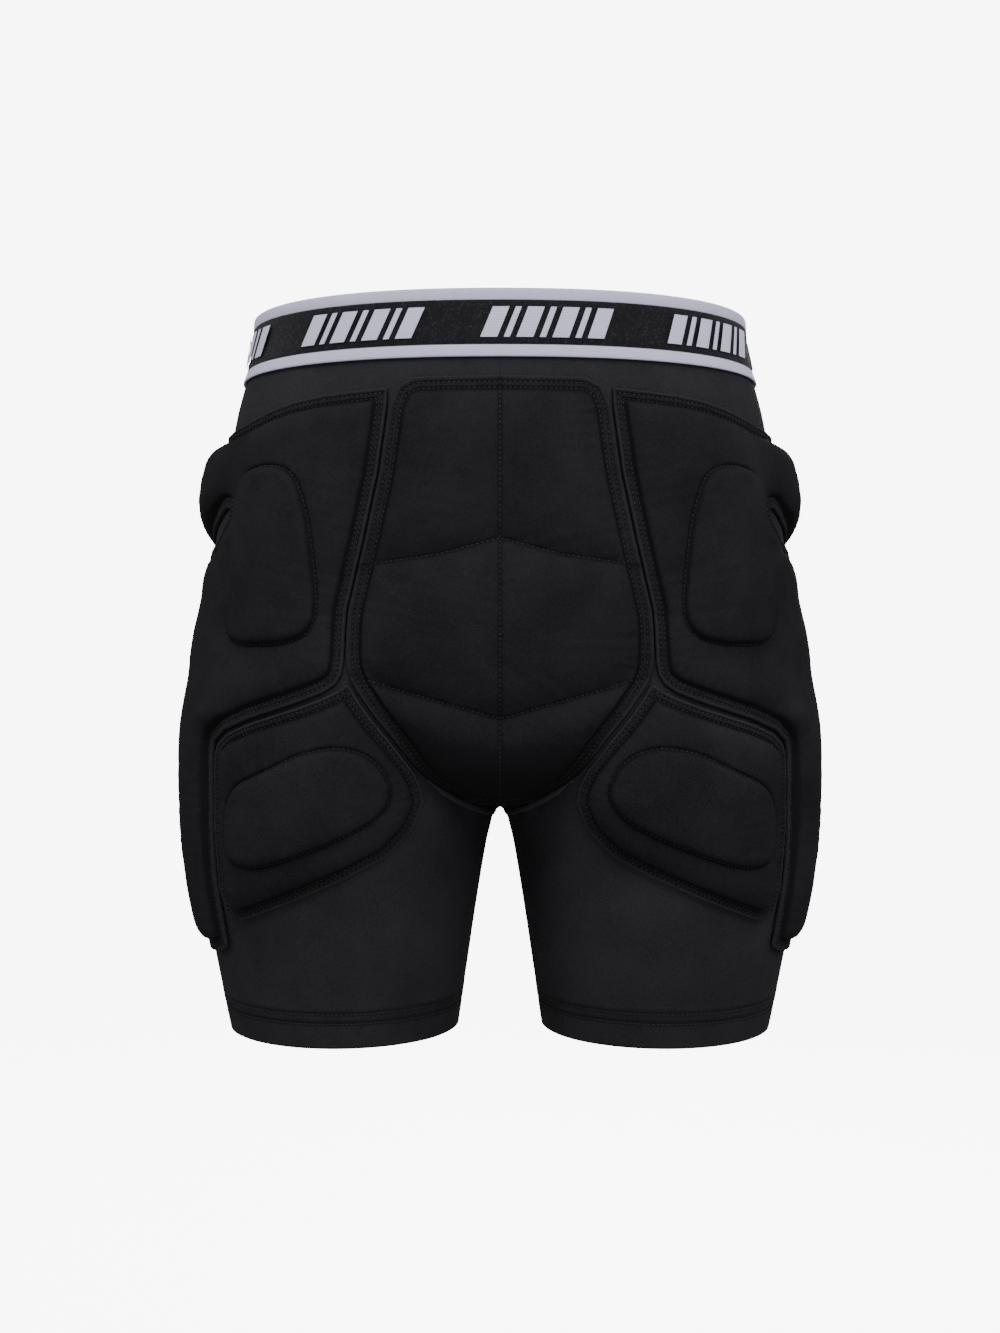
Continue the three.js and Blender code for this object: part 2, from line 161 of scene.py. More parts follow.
def chart(rows):
    """A smooth curve through rows of (level, size, ...), as a function of level."""
    table = np.array(rows, float)
    z, v = table[:, 0], table[:, 1:]
    slope = np.diff(v, axis=0) / np.diff(z)[:, None]
    m = np.vstack([slope[:1], (slope[1:] + slope[:-1]) / 2, slope[-1:]])

    def at(level):
        level = np.clip(level, z[0], z[-1])
        i = np.clip(np.searchsorted(z, level) - 1, 0, len(z) - 2)
        h = (z[i + 1] - z[i])[:, None]
        s = (level - z[i])[:, None] / h
        near = (2 * s**3 - 3 * s**2 + 1) * v[i] + (s**3 - 2 * s**2 + s) * h * m[i]
        return (near + (3 * s**2 - 2 * s**3) * v[i + 1] + (s**3 - s**2) * h * m[i + 1]).T

    return at


trunk_sizes, leg_sizes = chart(TRUNK_ROWS), chart(LEG_ROWS)


def gap(p, mirrored=True):
    """How far points are outside the wearer's left half, which stands for both."""
    x, y, z = (np.abs(p[:, 0]) if mirrored else p[:, 0]), p[:, 1], p[:, 2]
    half, front, back = trunk_sizes(z)
    full = (np.abs(x / half) ** FULLNESS + np.abs(y / np.where(y < 0, front, back)) ** FULLNESS)
    trunk = np.hypot(x, y) * (1 - np.maximum(full, 1e-9) ** (-1 / FULLNESS))
    trunk = np.maximum(trunk, TRUNK_END - z)
    middle, half, shift, depth = leg_sizes(z)
    full = np.hypot((x - middle) / half, (y - shift) / depth)
    leg = np.hypot(x - middle, y - shift) * (1 - 1 / np.maximum(full, 1e-6))
    leg = leg + np.maximum(z - LEG_TOP, 0)
    share = np.maximum(FOLD - np.abs(trunk - leg), 0) / FOLD
    return np.minimum(trunk, leg) - share**2 * FOLD / 4


def outward(p, reach=2.0, mirrored=True):
    """Unit vectors away from the form."""
    steps = np.eye(3) * reach
    g = np.stack([gap(p + s, mirrored) - gap(p - s, mirrored) for s in steps], axis=1)
    return g / np.maximum(np.linalg.norm(g, axis=1, keepdims=True), 1e-9)


def settle(p, level=0.0, times=6, mirrored=True):
    """Moves points along the form's own slope until they lie at a level above it."""
    for _ in range(times):
        steps = np.eye(3)
        g = np.stack([gap(p + s, mirrored) - gap(p - s, mirrored) for s in steps], axis=1) / 2
        off = gap(p, mirrored) - level
        p = p - g * (off / np.maximum((g * g).sum(1), 0.05))[:, None]
    return p


def march(start, heading, steps=80):
    """Where rays from outside meet the form."""
    p = start.copy()
    for _ in range(steps):
        p += heading * (gap(p) * 0.85)[:, None]
    return p


def rays(kind, uv):
    """Start, well outside the form, and heading for each flat point of a panel's layout."""
    u, v = uv[:, 0], uv[:, 1]
    still = np.zeros_like(u)
    if kind == "side":
        turn = u / ROUND
        away = np.stack([np.sin(turn), -np.cos(turn), still], 1)
        return np.stack([still + AXIS, still, v], 1) + away * 340, -away
    start, way = {"F": ((u, still - 320, v), (0, 1, 0)), "B": ((u, still + 320, v), (0, -1, 0)),
                  "S": ((still + 420, u, v), (-1, 0, 0))}[kind]
    return np.stack(start, 1), np.tile(np.array(way, float), (len(u), 1))


def meet(kind, uv):
    """Points on the form for flat points of a layout."""
    return march(*rays(kind, np.asarray(uv, float)))


def dense(points, step=5.0, closed=False):
    """Points along a polyline, no further apart than step."""
    points = [np.array(p, float) for p in points]
    pairs = list(zip(points, points[1:] + points[:1] if closed else points[1:]))
    out = []
    for a, b in pairs:
        n = max(1, int(math.ceil(np.linalg.norm(b - a) / step)))
        out += [a + (b - a) * i / n for i in range(n)]
    return np.array(out if closed else out + [points[-1]])


def laid_out(runs):
    """Runs of F, B or S points as one loop in the layout round the side axis."""
    loop = []
    for kind, points in runs:
        p = meet(kind, dense(points))
        turn = np.arctan2(p[:, 0] - AXIS, -p[:, 1])
        turn = np.where(turn < -1.0, turn + 2 * math.pi, turn)
        loop.append(np.stack([turn * ROUND, p[:, 2]], 1))
    return np.vstack(loop)


def evenly(points, step, closed):
    """The same line with its points an even step apart."""
    p = np.vstack([points, points[:1]]) if closed else np.asarray(points, float)
    run = np.concatenate([[0], np.cumsum(np.linalg.norm(np.diff(p, axis=0), axis=1))])
    n = max(3, int(round(run[-1] / step)))
    at = np.linspace(0, run[-1], n + 1)
    out = np.stack([np.interp(at, run, p[:, k]) for k in range(p.shape[1])], 1)
    return out[:-1] if closed else out


def inward_of(loop):
    """Unit vectors into a loop from each of its points."""
    way = np.roll(loop, -1, 0) - np.roll(loop, 1, 0)
    way /= np.linalg.norm(way, axis=1, keepdims=True)
    inward = np.stack([-way[:, 1], way[:, 0]], 1)
    return inward if within(loop[:1] + inward[:1] * 0.1, loop)[0] else -inward


def soft_loop(points, soften=2.6, grow=0.0, wide=None):
    """A closed outline, its corners rounded, more so where wide says, and grown outwards."""
    p = evenly(points, OUTLINE_STEP, True)
    for _ in range(int((soften / OUTLINE_STEP) ** 2)):
        p = p * 0.5 + (np.roll(p, 1, 0) + np.roll(p, -1, 0)) * 0.25
    if wide:
        share = wide(p)[:, None] * 0.25
        for _ in range(40):
            p = p + share * (np.roll(p, 1, 0) + np.roll(p, -1, 0) - 2 * p)
    return evenly(p - inward_of(p) * grow, OUTLINE_STEP, True)


def off_line(points, line, closed):
    """Distance from each flat point to a line, and how far along the line that is."""
    a = np.asarray(line, float)
    b = np.roll(a, -1, 0) if closed else a[1:]
    a = a if closed else a[:-1]
    d = b - a
    run = np.concatenate([[0], np.cumsum(np.linalg.norm(d, axis=1))])
    best, along = [], []
    for part in np.array_split(points, max(1, len(points) // 3000)):
        rel = part[:, None] - a
        t = np.clip((rel * d).sum(2) / np.maximum((d * d).sum(1), 1e-12), 0, 1)
        gaps = np.linalg.norm(rel - t[..., None] * d, axis=2)
        i = gaps.argmin(1)
        rows = np.arange(len(part))
        best.append(gaps[rows, i])
        along.append(run[i] + t[rows, i] * np.linalg.norm(d[i], axis=1))
    return np.concatenate(best), np.concatenate(along)


def within(points, loop):
    """Whether each flat point is inside a loop."""
    a, b = loop, np.roll(loop, -1, 0)
    found = []
    for part in np.array_split(points, max(1, len(points) // 3000)):
        y, x = part[:, 1:2], part[:, 0:1]
        cross = (a[:, 1] > y) != (b[:, 1] > y)
        rise = np.where(np.abs(b[:, 1] - a[:, 1]) < 1e-9, 1e-9, b[:, 1] - a[:, 1])
        at = a[:, 0] + (y - a[:, 1]) * (b[:, 0] - a[:, 0]) / rise
        found.append((cross & (x < at)).sum(1) % 2 == 1)
    return np.concatenate(found)


def depth_in(points, loop):
    """Distance inside a loop, negative outside it."""
    d, along = off_line(points, loop, True)
    return np.where(within(points, loop), d, -d), along


def crown(x):
    """A quarter circle: 0 at 0, steep at first, level at 1 and past it."""
    return np.sqrt(1 - (1 - np.clip(x, 0, 1)) ** 2)


def ease(x):
    """A gentle rise from 0 at 0 to 1 at 1, level outside."""
    x = np.clip(x, 0, 1)
    return x * x * (3 - 2 * x)


def ripple(x, y, seed):
    """Smooth fixed noise between about -1 and 1."""
    out = 0
    for k in range(4):
        a = 2.4 * k + seed
        out = out + np.sin(x * math.cos(a) + y * math.sin(a) + 1.7 * seed * (k + 1)) / 2
    return out / 1.4


# ---------------------------------------------------------------- meshes
def put(name, verts, faces, material, uv=None, values=None):
    """A smooth mesh piece from points in mm, with its layout and point values kept."""
    mesh = bpy.data.meshes.new(name)
    mesh.from_pydata((np.asarray(verts) * MM).tolist(), [], [list(map(int, f)) for f in faces])
    mesh.update()
    if uv is not None:
        layer = mesh.uv_layers.new(name="cloth")
        at = np.zeros(len(mesh.loops), np.int32)
        mesh.loops.foreach_get("vertex_index", at)
        layer.data.foreach_set("uv", (np.asarray(uv)[at] * MM).astype(np.float32).ravel())
    for key, column in (values or {}).items():
        layer = mesh.attributes.new(key, "FLOAT", "POINT")
        layer.data.foreach_set("value", np.asarray(column, np.float32))
    mesh.polygons.foreach_set("use_smooth", [True] * len(mesh.polygons))
    if material:
        mesh.materials.append(material)
    obj = bpy.data.objects.new(name, mesh)
    bpy.context.scene.collection.objects.link(obj)
    return obj


def face_out(obj):
    """Turns a closed piece's faces outwards."""
    mesh = bmesh.new()
    mesh.from_mesh(obj.data)
    bmesh.ops.recalc_face_normals(mesh, faces=mesh.faces)
    mesh.to_mesh(obj.data)
    mesh.free()


def tree_of(flat):
    """A search tree over flat points."""
    tree = KDTree(len(flat))
    for i, p in enumerate(flat):
        tree.insert((p[0], p[1], 0), i)
    tree.balance()
    return tree


def apart(kept, group, least):
    """The points of a group that are at least a distance from those already kept."""
    if not len(kept):
        return group
    tree = tree_of(kept)
    return np.array([p for p in group if tree.find((p[0], p[1], 0))[2] >= least]).reshape(-1, 2)


def netted(loop, rings, grid, lines=(), beside=()):
    """A triangle net inside a loop: rings at set depths, points beside lines, and a grid."""
    inward = inward_of(loop)
    kept = [loop]
    for depth in rings:
        ring = loop + inward * depth
        d, _ = depth_in(ring, loop)
        kept.append(ring[d > depth * 0.985 - 0.01])
    deepest = rings[-1] if len(rings) else 0
    points = np.vstack(kept)
    for line in lines:
        p = evenly(line, OUTLINE_STEP, False)
        way = np.gradient(p, axis=0)
        way /= np.linalg.norm(way, axis=1, keepdims=True)
        across = np.stack([-way[:, 1], way[:, 0]], 1)
        for shift in beside:
            q = p + across * shift
            q = q[depth_in(q, loop)[0] > deepest + 0.6]
            points = np.vstack([points, apart(points, q, 0.55)])
    low, high = loop.min(0), loop.max(0)
    row = np.arange(low[1], high[1], grid * 0.866)
    x = np.arange(low[0], high[0], grid)
    g = np.array([(a + (j % 2) * grid / 2, b) for j, b in enumerate(row) for a in x])
    g = g[depth_in(g, loop)[0] > deepest + grid * 0.5]
    points = np.vstack([points, apart(points, g, grid * 0.62)])
    n = len(loop)
    edges = [(i, (i + 1) % n) for i in range(n)]
    made = delaunay_2d_cdt([Vector(p) for p in points.tolist()], edges, [], 1, 1e-5)
    return np.array([v[:] for v in made[0]]), [f[:] for f in made[2]], n


def facing(verts, faces, outward_at):
    """Faces turned so that each looks the way its points do."""
    f = np.array(faces)
    a, b, c = verts[f[:, 0]], verts[f[:, 1]], verts[f[:, 2]]
    wrong = (np.cross(b - a, c - a) * outward_at[f].mean(1)).sum(1) < 0
    f[wrong] = f[wrong][:, ::-1]
    return f


def blown(verts, faces, pins, force, frames):
    """Where a pinned cloth goes under pressure: Blender's cloth, run and read back."""
    obj = put("blown", verts, faces, None)
    group = obj.vertex_groups.new(name="pins")
    group.add([int(i) for i in np.flatnonzero(pins)], 1.0, "REPLACE")
    cloth = obj.modifiers.new("Cloth", "CLOTH")
    s = cloth.settings
    s.quality, s.mass, s.air_damping = 4, 0.25, 2.0
    s.tension_stiffness = s.compression_stiffness = 12
    s.shear_stiffness, s.bending_stiffness = 6, 0.4
    s.vertex_group_mass = "pins"
    s.use_pressure, s.uniform_pressure_force = True, force
    s.effector_weights.gravity = 0
    cloth.collision_settings.use_collision = False
    cloth.point_cache.frame_start, cloth.point_cache.frame_end = 1, frames
    scene = bpy.context.scene
    for at in range(1, frames + 1):
        scene.frame_set(at)
    graph = bpy.context.evaluated_depsgraph_get()
    got = obj.evaluated_get(graph).data
    co = np.zeros(len(got.vertices) * 3, np.float32)
    got.vertices.foreach_get("co", co)
    scene.frame_set(1)
    bpy.data.objects.remove(obj)
    return co.reshape(-1, 3).astype(float) / MM


# Depths in mm of the net's rings, close together at the rim's edge and stitch rows.
RINGS = (0.3, 0.7, 1.2, 1.8, 2.35, 2.75, 3.1, 3.5, 4.1, 4.7, 5.15, 5.5, 5.85, 6.3, 6.7, 7.2, 8.0,
         9.2, 11.0, 13.5)
ROWS = (0.45, 0.84)  # where the two stitch rows lie across a rim, from its outer edge
RIM_DRAWN = 6.5  # the rim width that RINGS is drawn for
FINE = 2.3  # spacing of the net over a pad, away from its seams
BESIDE = (0, -0.7, 0.7, -1.6, 1.6, -2.8, 2.8)  # rows of the net at and beside each seam
BASE = 1.75  # the underside of a panel, just clear of the cloth's face
SMOOTH = 6.0  # reach over which a panel's outward direction is evened
SWELL = 2.0  # how far cloth pressure lifts a pad at its fullest


def panel(name, kind, loop, foam, roll, shape=None, lines=(), ovals=(), edge=1.0):
    """One quilted pad on the wearer's left or middle: its mesh in mm, ready to be mirrored.

    shape(uv) multiplies the foam, lines are seams as (points, depth, width), and ovals are
    raised parts as (loop, rise, soft), where soft(uv) is 1 where the step fades away, and
    edge widens the rim. Cloth pressure gives the swell between the stitch lines."""
    sizes = bpy.context.scene.shorts_sizes
    rim, rim_thick = sizes.rim_width / MM * edge, sizes.rim_thickness / MM
    scale = rim / RIM_DRAWN
    rings = [r * scale for r in RINGS]
    ways = [np.asarray(line, float) for line, _, _ in lines]
    seams = ways + [np.vstack([o, o[:1]]) for o, _, _ in ovals]
    uv, faces, outer = netted(loop, rings, FINE, seams, BESIDE)

    def height(at):
        """Height over the cloth, painted light and shade, depth inside the rim and distance to a
        seam.
        """
        d, along = depth_in(at, loop)
        inner = d - rim
        h = rim_thick * crown(d / 1.3) * (1 + 0.08 * ripple(along * 0.9, along * 0.31, 1.3))
        for row in ROWS:
            h = h - 0.75 * np.exp(-(((d - rim * row) / 0.55) ** 2))
        h = h - 0.8 * np.exp(-((inner / 0.7) ** 2))
        tall = foam * (shape(at) if shape else 1.0)
        h = h + tall * (0.84 * crown(inner / roll) + 0.16 * ease(inner / (3.5 * roll)))
        near = inner.copy()
        crease = np.zeros(len(at))
        for line, deep, wide in lines:
            away, _ = off_line(at, line, False)
            h = h - deep * (1 - np.clip(away / wide, 0, 1)) ** 2 * ease(inner / 6)
            near = np.minimum(near, away)
            crease = np.maximum(crease, np.exp(-((away / 1.1) ** 2)))
        for oval, rise, soft in ovals:
            away, _ = depth_in(at, oval)
            fade = soft(at)
            h = h + rise * (1 - fade) * crown(away / 5.5) * (away > 0)
            h = h + rise * fade * ease((away + 2) / 26)
            sewn = 1 - ease((fade - 0.3) / 0.35)
            h = h - 1.1 * sewn * np.exp(-((away / 1.1) ** 2))
            near = np.minimum(near, np.abs(away) + 8 * (1 - sewn))
            crease = np.maximum(crease, sewn * np.exp(-((away / 1.1) ** 2)))
        # The cloth puckers beside each seam and lies a little uneven over the foam.
        pucker = np.exp(-((near / 3.2) ** 2)) * (inner > 0)
        h = h + 0.16 * pucker * ripple(at[:, 0] * 1.3, at[:, 1] * 1.3, 0.7)
        h = h + 0.22 * ease(inner / 12) * ripple(at[:, 0] * 0.09, at[:, 1] * 0.09, 2.1)
        # Painted light and shade: each rim's rolled outer edge is painted paler, a painted
        # highlight; creases, the groove between rim and pad, the stitch rows and the belly pad's
        # lower end are painted darker, painted shade.
        painted_shading = np.exp(-(((d - 0.9) / 0.8) ** 2)) * 0.8 - crease * 0.7
        painted_shading = painted_shading - 0.8 * np.exp(-((inner / 0.9) ** 2))
        # The belly pad's lower end, which turns under away from the light, is painted darker:
        # painted shade.
        if name == "belly_panel":
            painted_shading = painted_shading - 1.2 * ease((-250 - at[:, 1]) / 25)
        for row in ROWS:
            painted_shading = painted_shading - 0.5 * np.exp(-(((d - rim * row) / 0.6) ** 2))
        return np.maximum(h, 0.02), painted_shading, inner, near

    skin = meet(kind, uv)
    out = outward(skin, SMOOTH)
    h, painted_shading, inner, near = height(uv)
    risen = swell(kind, uv, inner > 0, loop, rim, seams, height)
    h = h + SWELL * risen * ease(inner / 4) * (1 - 0.8 * np.exp(-((near / 1.2) ** 2)))
    top = skin + out * (BASE + h)[:, None]
    faces = facing(top, faces, out)
    # The underside shares the outline's points and is drawn with a coarser net.
    low_uv, low_faces, _ = netted(loop, (), grid=9.0)
    low_skin = meet(kind, low_uv)
    low_out = outward(low_skin, SMOOTH)
    low = low_skin + low_out * BASE
    low_faces = facing(low, low_faces, -low_out)
    index = np.concatenate([np.arange(outer), len(top) + np.arange(len(low) - outer)])
    faces = [tuple(f) for f in faces] + [tuple(index[list(f)]) for f in low_faces]
    return {"name": name, "verts": np.vstack([top, low[outer:]]), "faces": faces,
            "uv": np.vstack([uv, low_uv[outer:]]),
            "painted_shading": np.concatenate([painted_shading, np.zeros(len(low) - outer)]),
            "paths": raised(kind, stitch_rows(loop, rim, lines, ovals), uv, h)}


def swell(kind, uv, wanted, loop, rim, seams, height):
    """How cloth under pressure rises at the wanted flat points, about 1 at its highest.

    A coarse net of the pad is pinned at the rim and along the seams and blown up once."""
    flat, faces, _ = netted(evenly(loop, 4.0, True), (rim + 0.3,), 4.4, seams, (0,))
    skin = meet(kind, flat)
    out = outward(skin, SMOOTH)
    h, _, inner, near = height(flat)
    start = skin + out * (BASE + h)[:, None]
    pinned = (inner < 0.6) | (near < 1.0)
    moved = blown(start, facing(start, faces, out), pinned, force=4.0, frames=14)
    rise = ((moved - start) * out).sum(1)
    rise = np.clip(rise / max(np.percentile(rise, 97), 0.2), -0.5, 1.2)
    tree = tree_of(flat)
    risen = np.zeros(len(uv))
    for i in np.flatnonzero(wanted):
        found = tree.find_n((uv[i, 0], uv[i, 1], 0), 9)
        w = np.array([math.exp(-((f[2] / 4.0) ** 2)) + 1e-9 for f in found])
        risen[i] = (w * rise[[f[1] for f in found]]).sum() / w.sum()
    return risen


def stitch_rows(loop, rim, lines, ovals):
    """Rows of stitches as (flat line, closed): round the rim, along seams, round ovals."""
    rows = [(loop_inside(loop, rim * row), True) for row in ROWS]
    for line, _, _ in lines:
        p = evenly(line, OUTLINE_STEP, False)
        rows.append((p[depth_in(p, loop)[0] > rim + 1.5], False))
    for oval, _, soft in ovals:
        p = evenly(oval, OUTLINE_STEP, True)
        faded = soft(p) > 0.5
        if faded.any():  # one open row that starts and ends where the step has faded away
            first = int(np.flatnonzero(faded & ~np.roll(faded, -1))[0]) + 1
            p, faded = np.roll(p, -first, 0), np.roll(faded, -first)
            rows.append((p[~faded], False))
        else:
            rows.append((p, True))
    return rows


def raised(kind, rows, uv, h):
    """Rows of stitches as (points, outward, closed), lying on a pad's face."""
    tree = tree_of(uv)
    paths = []
    for line, closed in rows:
        p = meet(kind, line)
        out = outward(p, SMOOTH)
        level = []
        for q in line:
            found = tree.find_n((q[0], q[1], 0), 4)
            w = np.array([1 / (f[2] + 0.05) for f in found])
            level.append((w * h[[f[1] for f in found]]).sum() / w.sum())
        paths.append((p + out * (BASE + np.array(level) + 0.05)[:, None], out, closed))
    return paths


def loop_inside(loop, depth):
    """The loop moved inwards by a depth."""
    ring = loop + inward_of(loop) * depth
    ring = ring[depth_in(ring, loop)[0] > depth * 0.97]
    return evenly(ring, OUTLINE_STEP, True)


# ---------------------------------------------------------------- nodes
def add(tree, kind, values=None, links=None, **settings):
    """Adds a node with its settings, its input values and the links into it."""
    made = tree.nodes.new(kind)
    for name, value in settings.items():
        setattr(made, name, value)
    for key, value in (values or {}).items():
        made.inputs[key].default_value = value
    for key, source in (links or {}).items():
        tree.links.new(source, made.inputs[key])
    return made


def geometry_tree(name, inputs):
    """An empty Geometry Nodes tree with named inputs."""
    tree = bpy.data.node_groups.new(name, "GeometryNodeTree")
    tree.interface.new_socket("Geometry", in_out="OUTPUT", socket_type="NodeSocketGeometry")
    for label, kind in inputs:
        tree.interface.new_socket(label, in_out="INPUT", socket_type="NodeSocket" + kind)
    return tree, add(tree, "NodeGroupInput"), add(tree, "NodeGroupOutput")


def grown(obj, tree, values, name):
    """The mesh that a Geometry Nodes tree makes from an object, as a new object."""
    modifier = obj.modifiers.new("Grown", "NODES")
    modifier.node_group = tree
    for item in tree.interface.items_tree:
        if item.in_out == "INPUT" and item.name in values:
            modifier[item.identifier] = values[item.name]
    graph = bpy.context.evaluated_depsgraph_get()
    mesh = bpy.data.meshes.new_from_object(obj.evaluated_get(graph), depsgraph=graph)
    mesh.name = name
    bpy.data.objects.remove(obj)
    made = bpy.data.objects.new(name, mesh)
    bpy.context.scene.collection.objects.link(made)
    return made


def stitch_tree():
    """Stitches along a path of edges that carries its outward direction."""
    if "Stitch row" in bpy.data.node_groups:
        return bpy.data.node_groups["Stitch row"]
    tree, given, out = geometry_tree("Stitch row", [
        ("Geometry", "Geometry"), ("Pitch", "Float"), ("Stitch", "Vector"),
        ("Thread", "Material")])
    line = add(tree, "GeometryNodeMeshToCurve", links={"Mesh": given.outputs["Geometry"]})
    line = add(tree, "GeometryNodeResampleCurve", mode="LENGTH",
               links={"Curve": line.outputs["Curve"], "Length": given.outputs["Pitch"]})
    lift = add(tree, "GeometryNodeInputNamedAttribute", {"Name": "lift"},
               data_type="FLOAT_VECTOR")
    along = add(tree, "GeometryNodeInputTangent")
    turn = add(tree, "FunctionNodeAlignRotationToVector", axis="X",
               links={"Vector": along.outputs["Tangent"]})
    turn = add(tree, "FunctionNodeAlignRotationToVector", axis="Z", pivot_axis="X",
               links={"Rotation": turn.outputs["Rotation"],
                      "Vector": lift.outputs["Attribute"]})
    ball = add(tree, "GeometryNodeMeshUVSphere", {"Segments": 6, "Rings": 4, "Radius": 0.5})
    thread = add(tree, "GeometryNodeTransform",
                 links={"Geometry": ball.outputs["Mesh"], "Scale": given.outputs["Stitch"]})
    spread = add(tree, "GeometryNodeInstanceOnPoints", links={
        "Points": line.outputs["Curve"], "Instance": thread.outputs["Geometry"],
        "Rotation": turn.outputs["Rotation"]})
    real = add(tree, "GeometryNodeRealizeInstances",
               links={"Geometry": spread.outputs["Instances"]})
    smooth = add(tree, "GeometryNodeSetShadeSmooth",
                 links={"Geometry": real.outputs["Geometry"]})
    done = add(tree, "GeometryNodeSetMaterial", links={
        "Geometry": smooth.outputs["Geometry"], "Material": given.outputs["Thread"]})
    tree.links.new(done.outputs["Geometry"], out.inputs["Geometry"])
    return tree


def stitched(name, paths, hand, pitch=2.9):
    """Rows of thread stitches along paths of (points, outward, closed), in mm."""
    verts, edges, lifts = [], [], []
    for points, lift, closed in paths:
        if len(points) < 3:
            continue
        first = len(verts)
        verts += (points * [hand * MM, MM, MM]).tolist()
        lifts += (lift * [hand, 1, 1]).tolist()
        edges += [(first + i, first + i + 1) for i in range(len(points) - 1)]
        if closed:
            edges.append((first + len(points) - 1, first))
    mesh = bpy.data.meshes.new(name)
    mesh.from_pydata(verts, edges, [])
    layer = mesh.attributes.new("lift", "FLOAT_VECTOR", "POINT")
    layer.data.foreach_set("vector", np.array(lifts, np.float32).ravel())
    row = bpy.data.objects.new(name + "_row", mesh)
    bpy.context.scene.collection.objects.link(row)
    thread = bpy.context.scene.shorts_sizes.thread_width / (STITCH[1] * MM)
    return grown(row, stitch_tree(), {
        "Pitch": pitch * MM, "Stitch": [v * MM * thread for v in STITCH],
        "Thread": material("polyester_sewing_thread")}, name)


def motif_tree():
    """A flat motif repeated along the waistband and bent on to its face."""
    tree, given, out = geometry_tree("Woven motif", [
        ("Geometry", "Geometry"), ("Repeats", "Int"), ("Pitch", "Float"),
        ("Top path", "Object"), ("Bottom path", "Object"), ("Band height", "Float"),
        ("Yarn", "Material")])
    offset = add(tree, "ShaderNodeCombineXYZ", links={"X": given.outputs["Pitch"]})
    line = add(tree, "GeometryNodeMeshLine", links={
        "Count": given.outputs["Repeats"], "Offset": offset.outputs["Vector"]})
    spread = add(tree, "GeometryNodeInstanceOnPoints", links={
        "Points": line.outputs["Mesh"], "Instance": given.outputs["Geometry"]})
    real = add(tree, "GeometryNodeRealizeInstances",
               links={"Geometry": spread.outputs["Instances"]})
    place = add(tree, "GeometryNodeInputPosition")
    split = add(tree, "ShaderNodeSeparateXYZ", links={"Vector": place.outputs["Position"]})
    whole = add(tree, "ShaderNodeMath", operation="MULTIPLY",
                links={0: given.outputs["Pitch"], 1: given.outputs["Repeats"]})
    share = add(tree, "ShaderNodeMath", operation="DIVIDE",
                links={0: split.outputs["X"], 1: whole.outputs["Value"]})
    share = add(tree, "ShaderNodeMath", operation="FLOORED_MODULO", values={1: 1.0},
                links={0: share.outputs["Value"]})
    ends = []
    for path in ("Top path", "Bottom path"):
        got = add(tree, "GeometryNodeObjectInfo", links={"Object": given.outputs[path]})
        curve = add(tree, "GeometryNodeMeshToCurve", links={"Mesh": got.outputs["Geometry"]})
        ends.append(add(tree, "GeometryNodeSampleCurve", mode="FACTOR", links={
            "Curves": curve.outputs["Curve"], "Factor": share.outputs["Value"]}))
    down = add(tree, "ShaderNodeMath", operation="DIVIDE",
               links={0: split.outputs["Z"], 1: given.outputs["Band height"]})
    down = add(tree, "ShaderNodeMath", operation="MULTIPLY", values={1: -1.0},
               links={0: down.outputs["Value"]})
    at = add(tree, "ShaderNodeMix", data_type="VECTOR", clamp_factor=False, links={
        0: down.outputs["Value"], 4: ends[0].outputs["Position"],
        5: ends[1].outputs["Position"]})
    away = add(tree, "ShaderNodeVectorMath", {1: (0, 0, 1)}, operation="CROSS_PRODUCT",
               links={0: ends[0].outputs["Tangent"]})
    away = add(tree, "ShaderNodeVectorMath", operation="SCALE", links={
        0: away.outputs["Vector"], "Scale": split.outputs["Y"]})
    moved = add(tree, "ShaderNodeVectorMath", operation="ADD",
                links={0: at.outputs[1], 1: away.outputs["Vector"]})
    bent = add(tree, "GeometryNodeSetPosition", links={
        "Geometry": real.outputs["Geometry"], "Position": moved.outputs["Vector"]})
    done = add(tree, "GeometryNodeSetMaterial", links={
        "Geometry": bent.outputs["Geometry"], "Material": given.outputs["Yarn"]})
    tree.links.new(done.outputs["Geometry"], out.inputs["Geometry"])
    return tree


# ---------------------------------------------------------------- materials
def blank(name, **shader):
    """A new material, its tree and its Principled shader with constants set on it."""
    made = bpy.data.materials.new(name)
    made.use_nodes = True
    skin = made.node_tree.nodes["Principled BSDF"]
    for key, value in shader.items():
        skin.inputs[key.replace("_", " ")].default_value = value
    return made, made.node_tree, skin


def tone_of(chosen):
    """A colour that the user has chosen, as a node takes it."""
    return (*getattr(bpy.context.scene.shorts_sizes, chosen), 1)


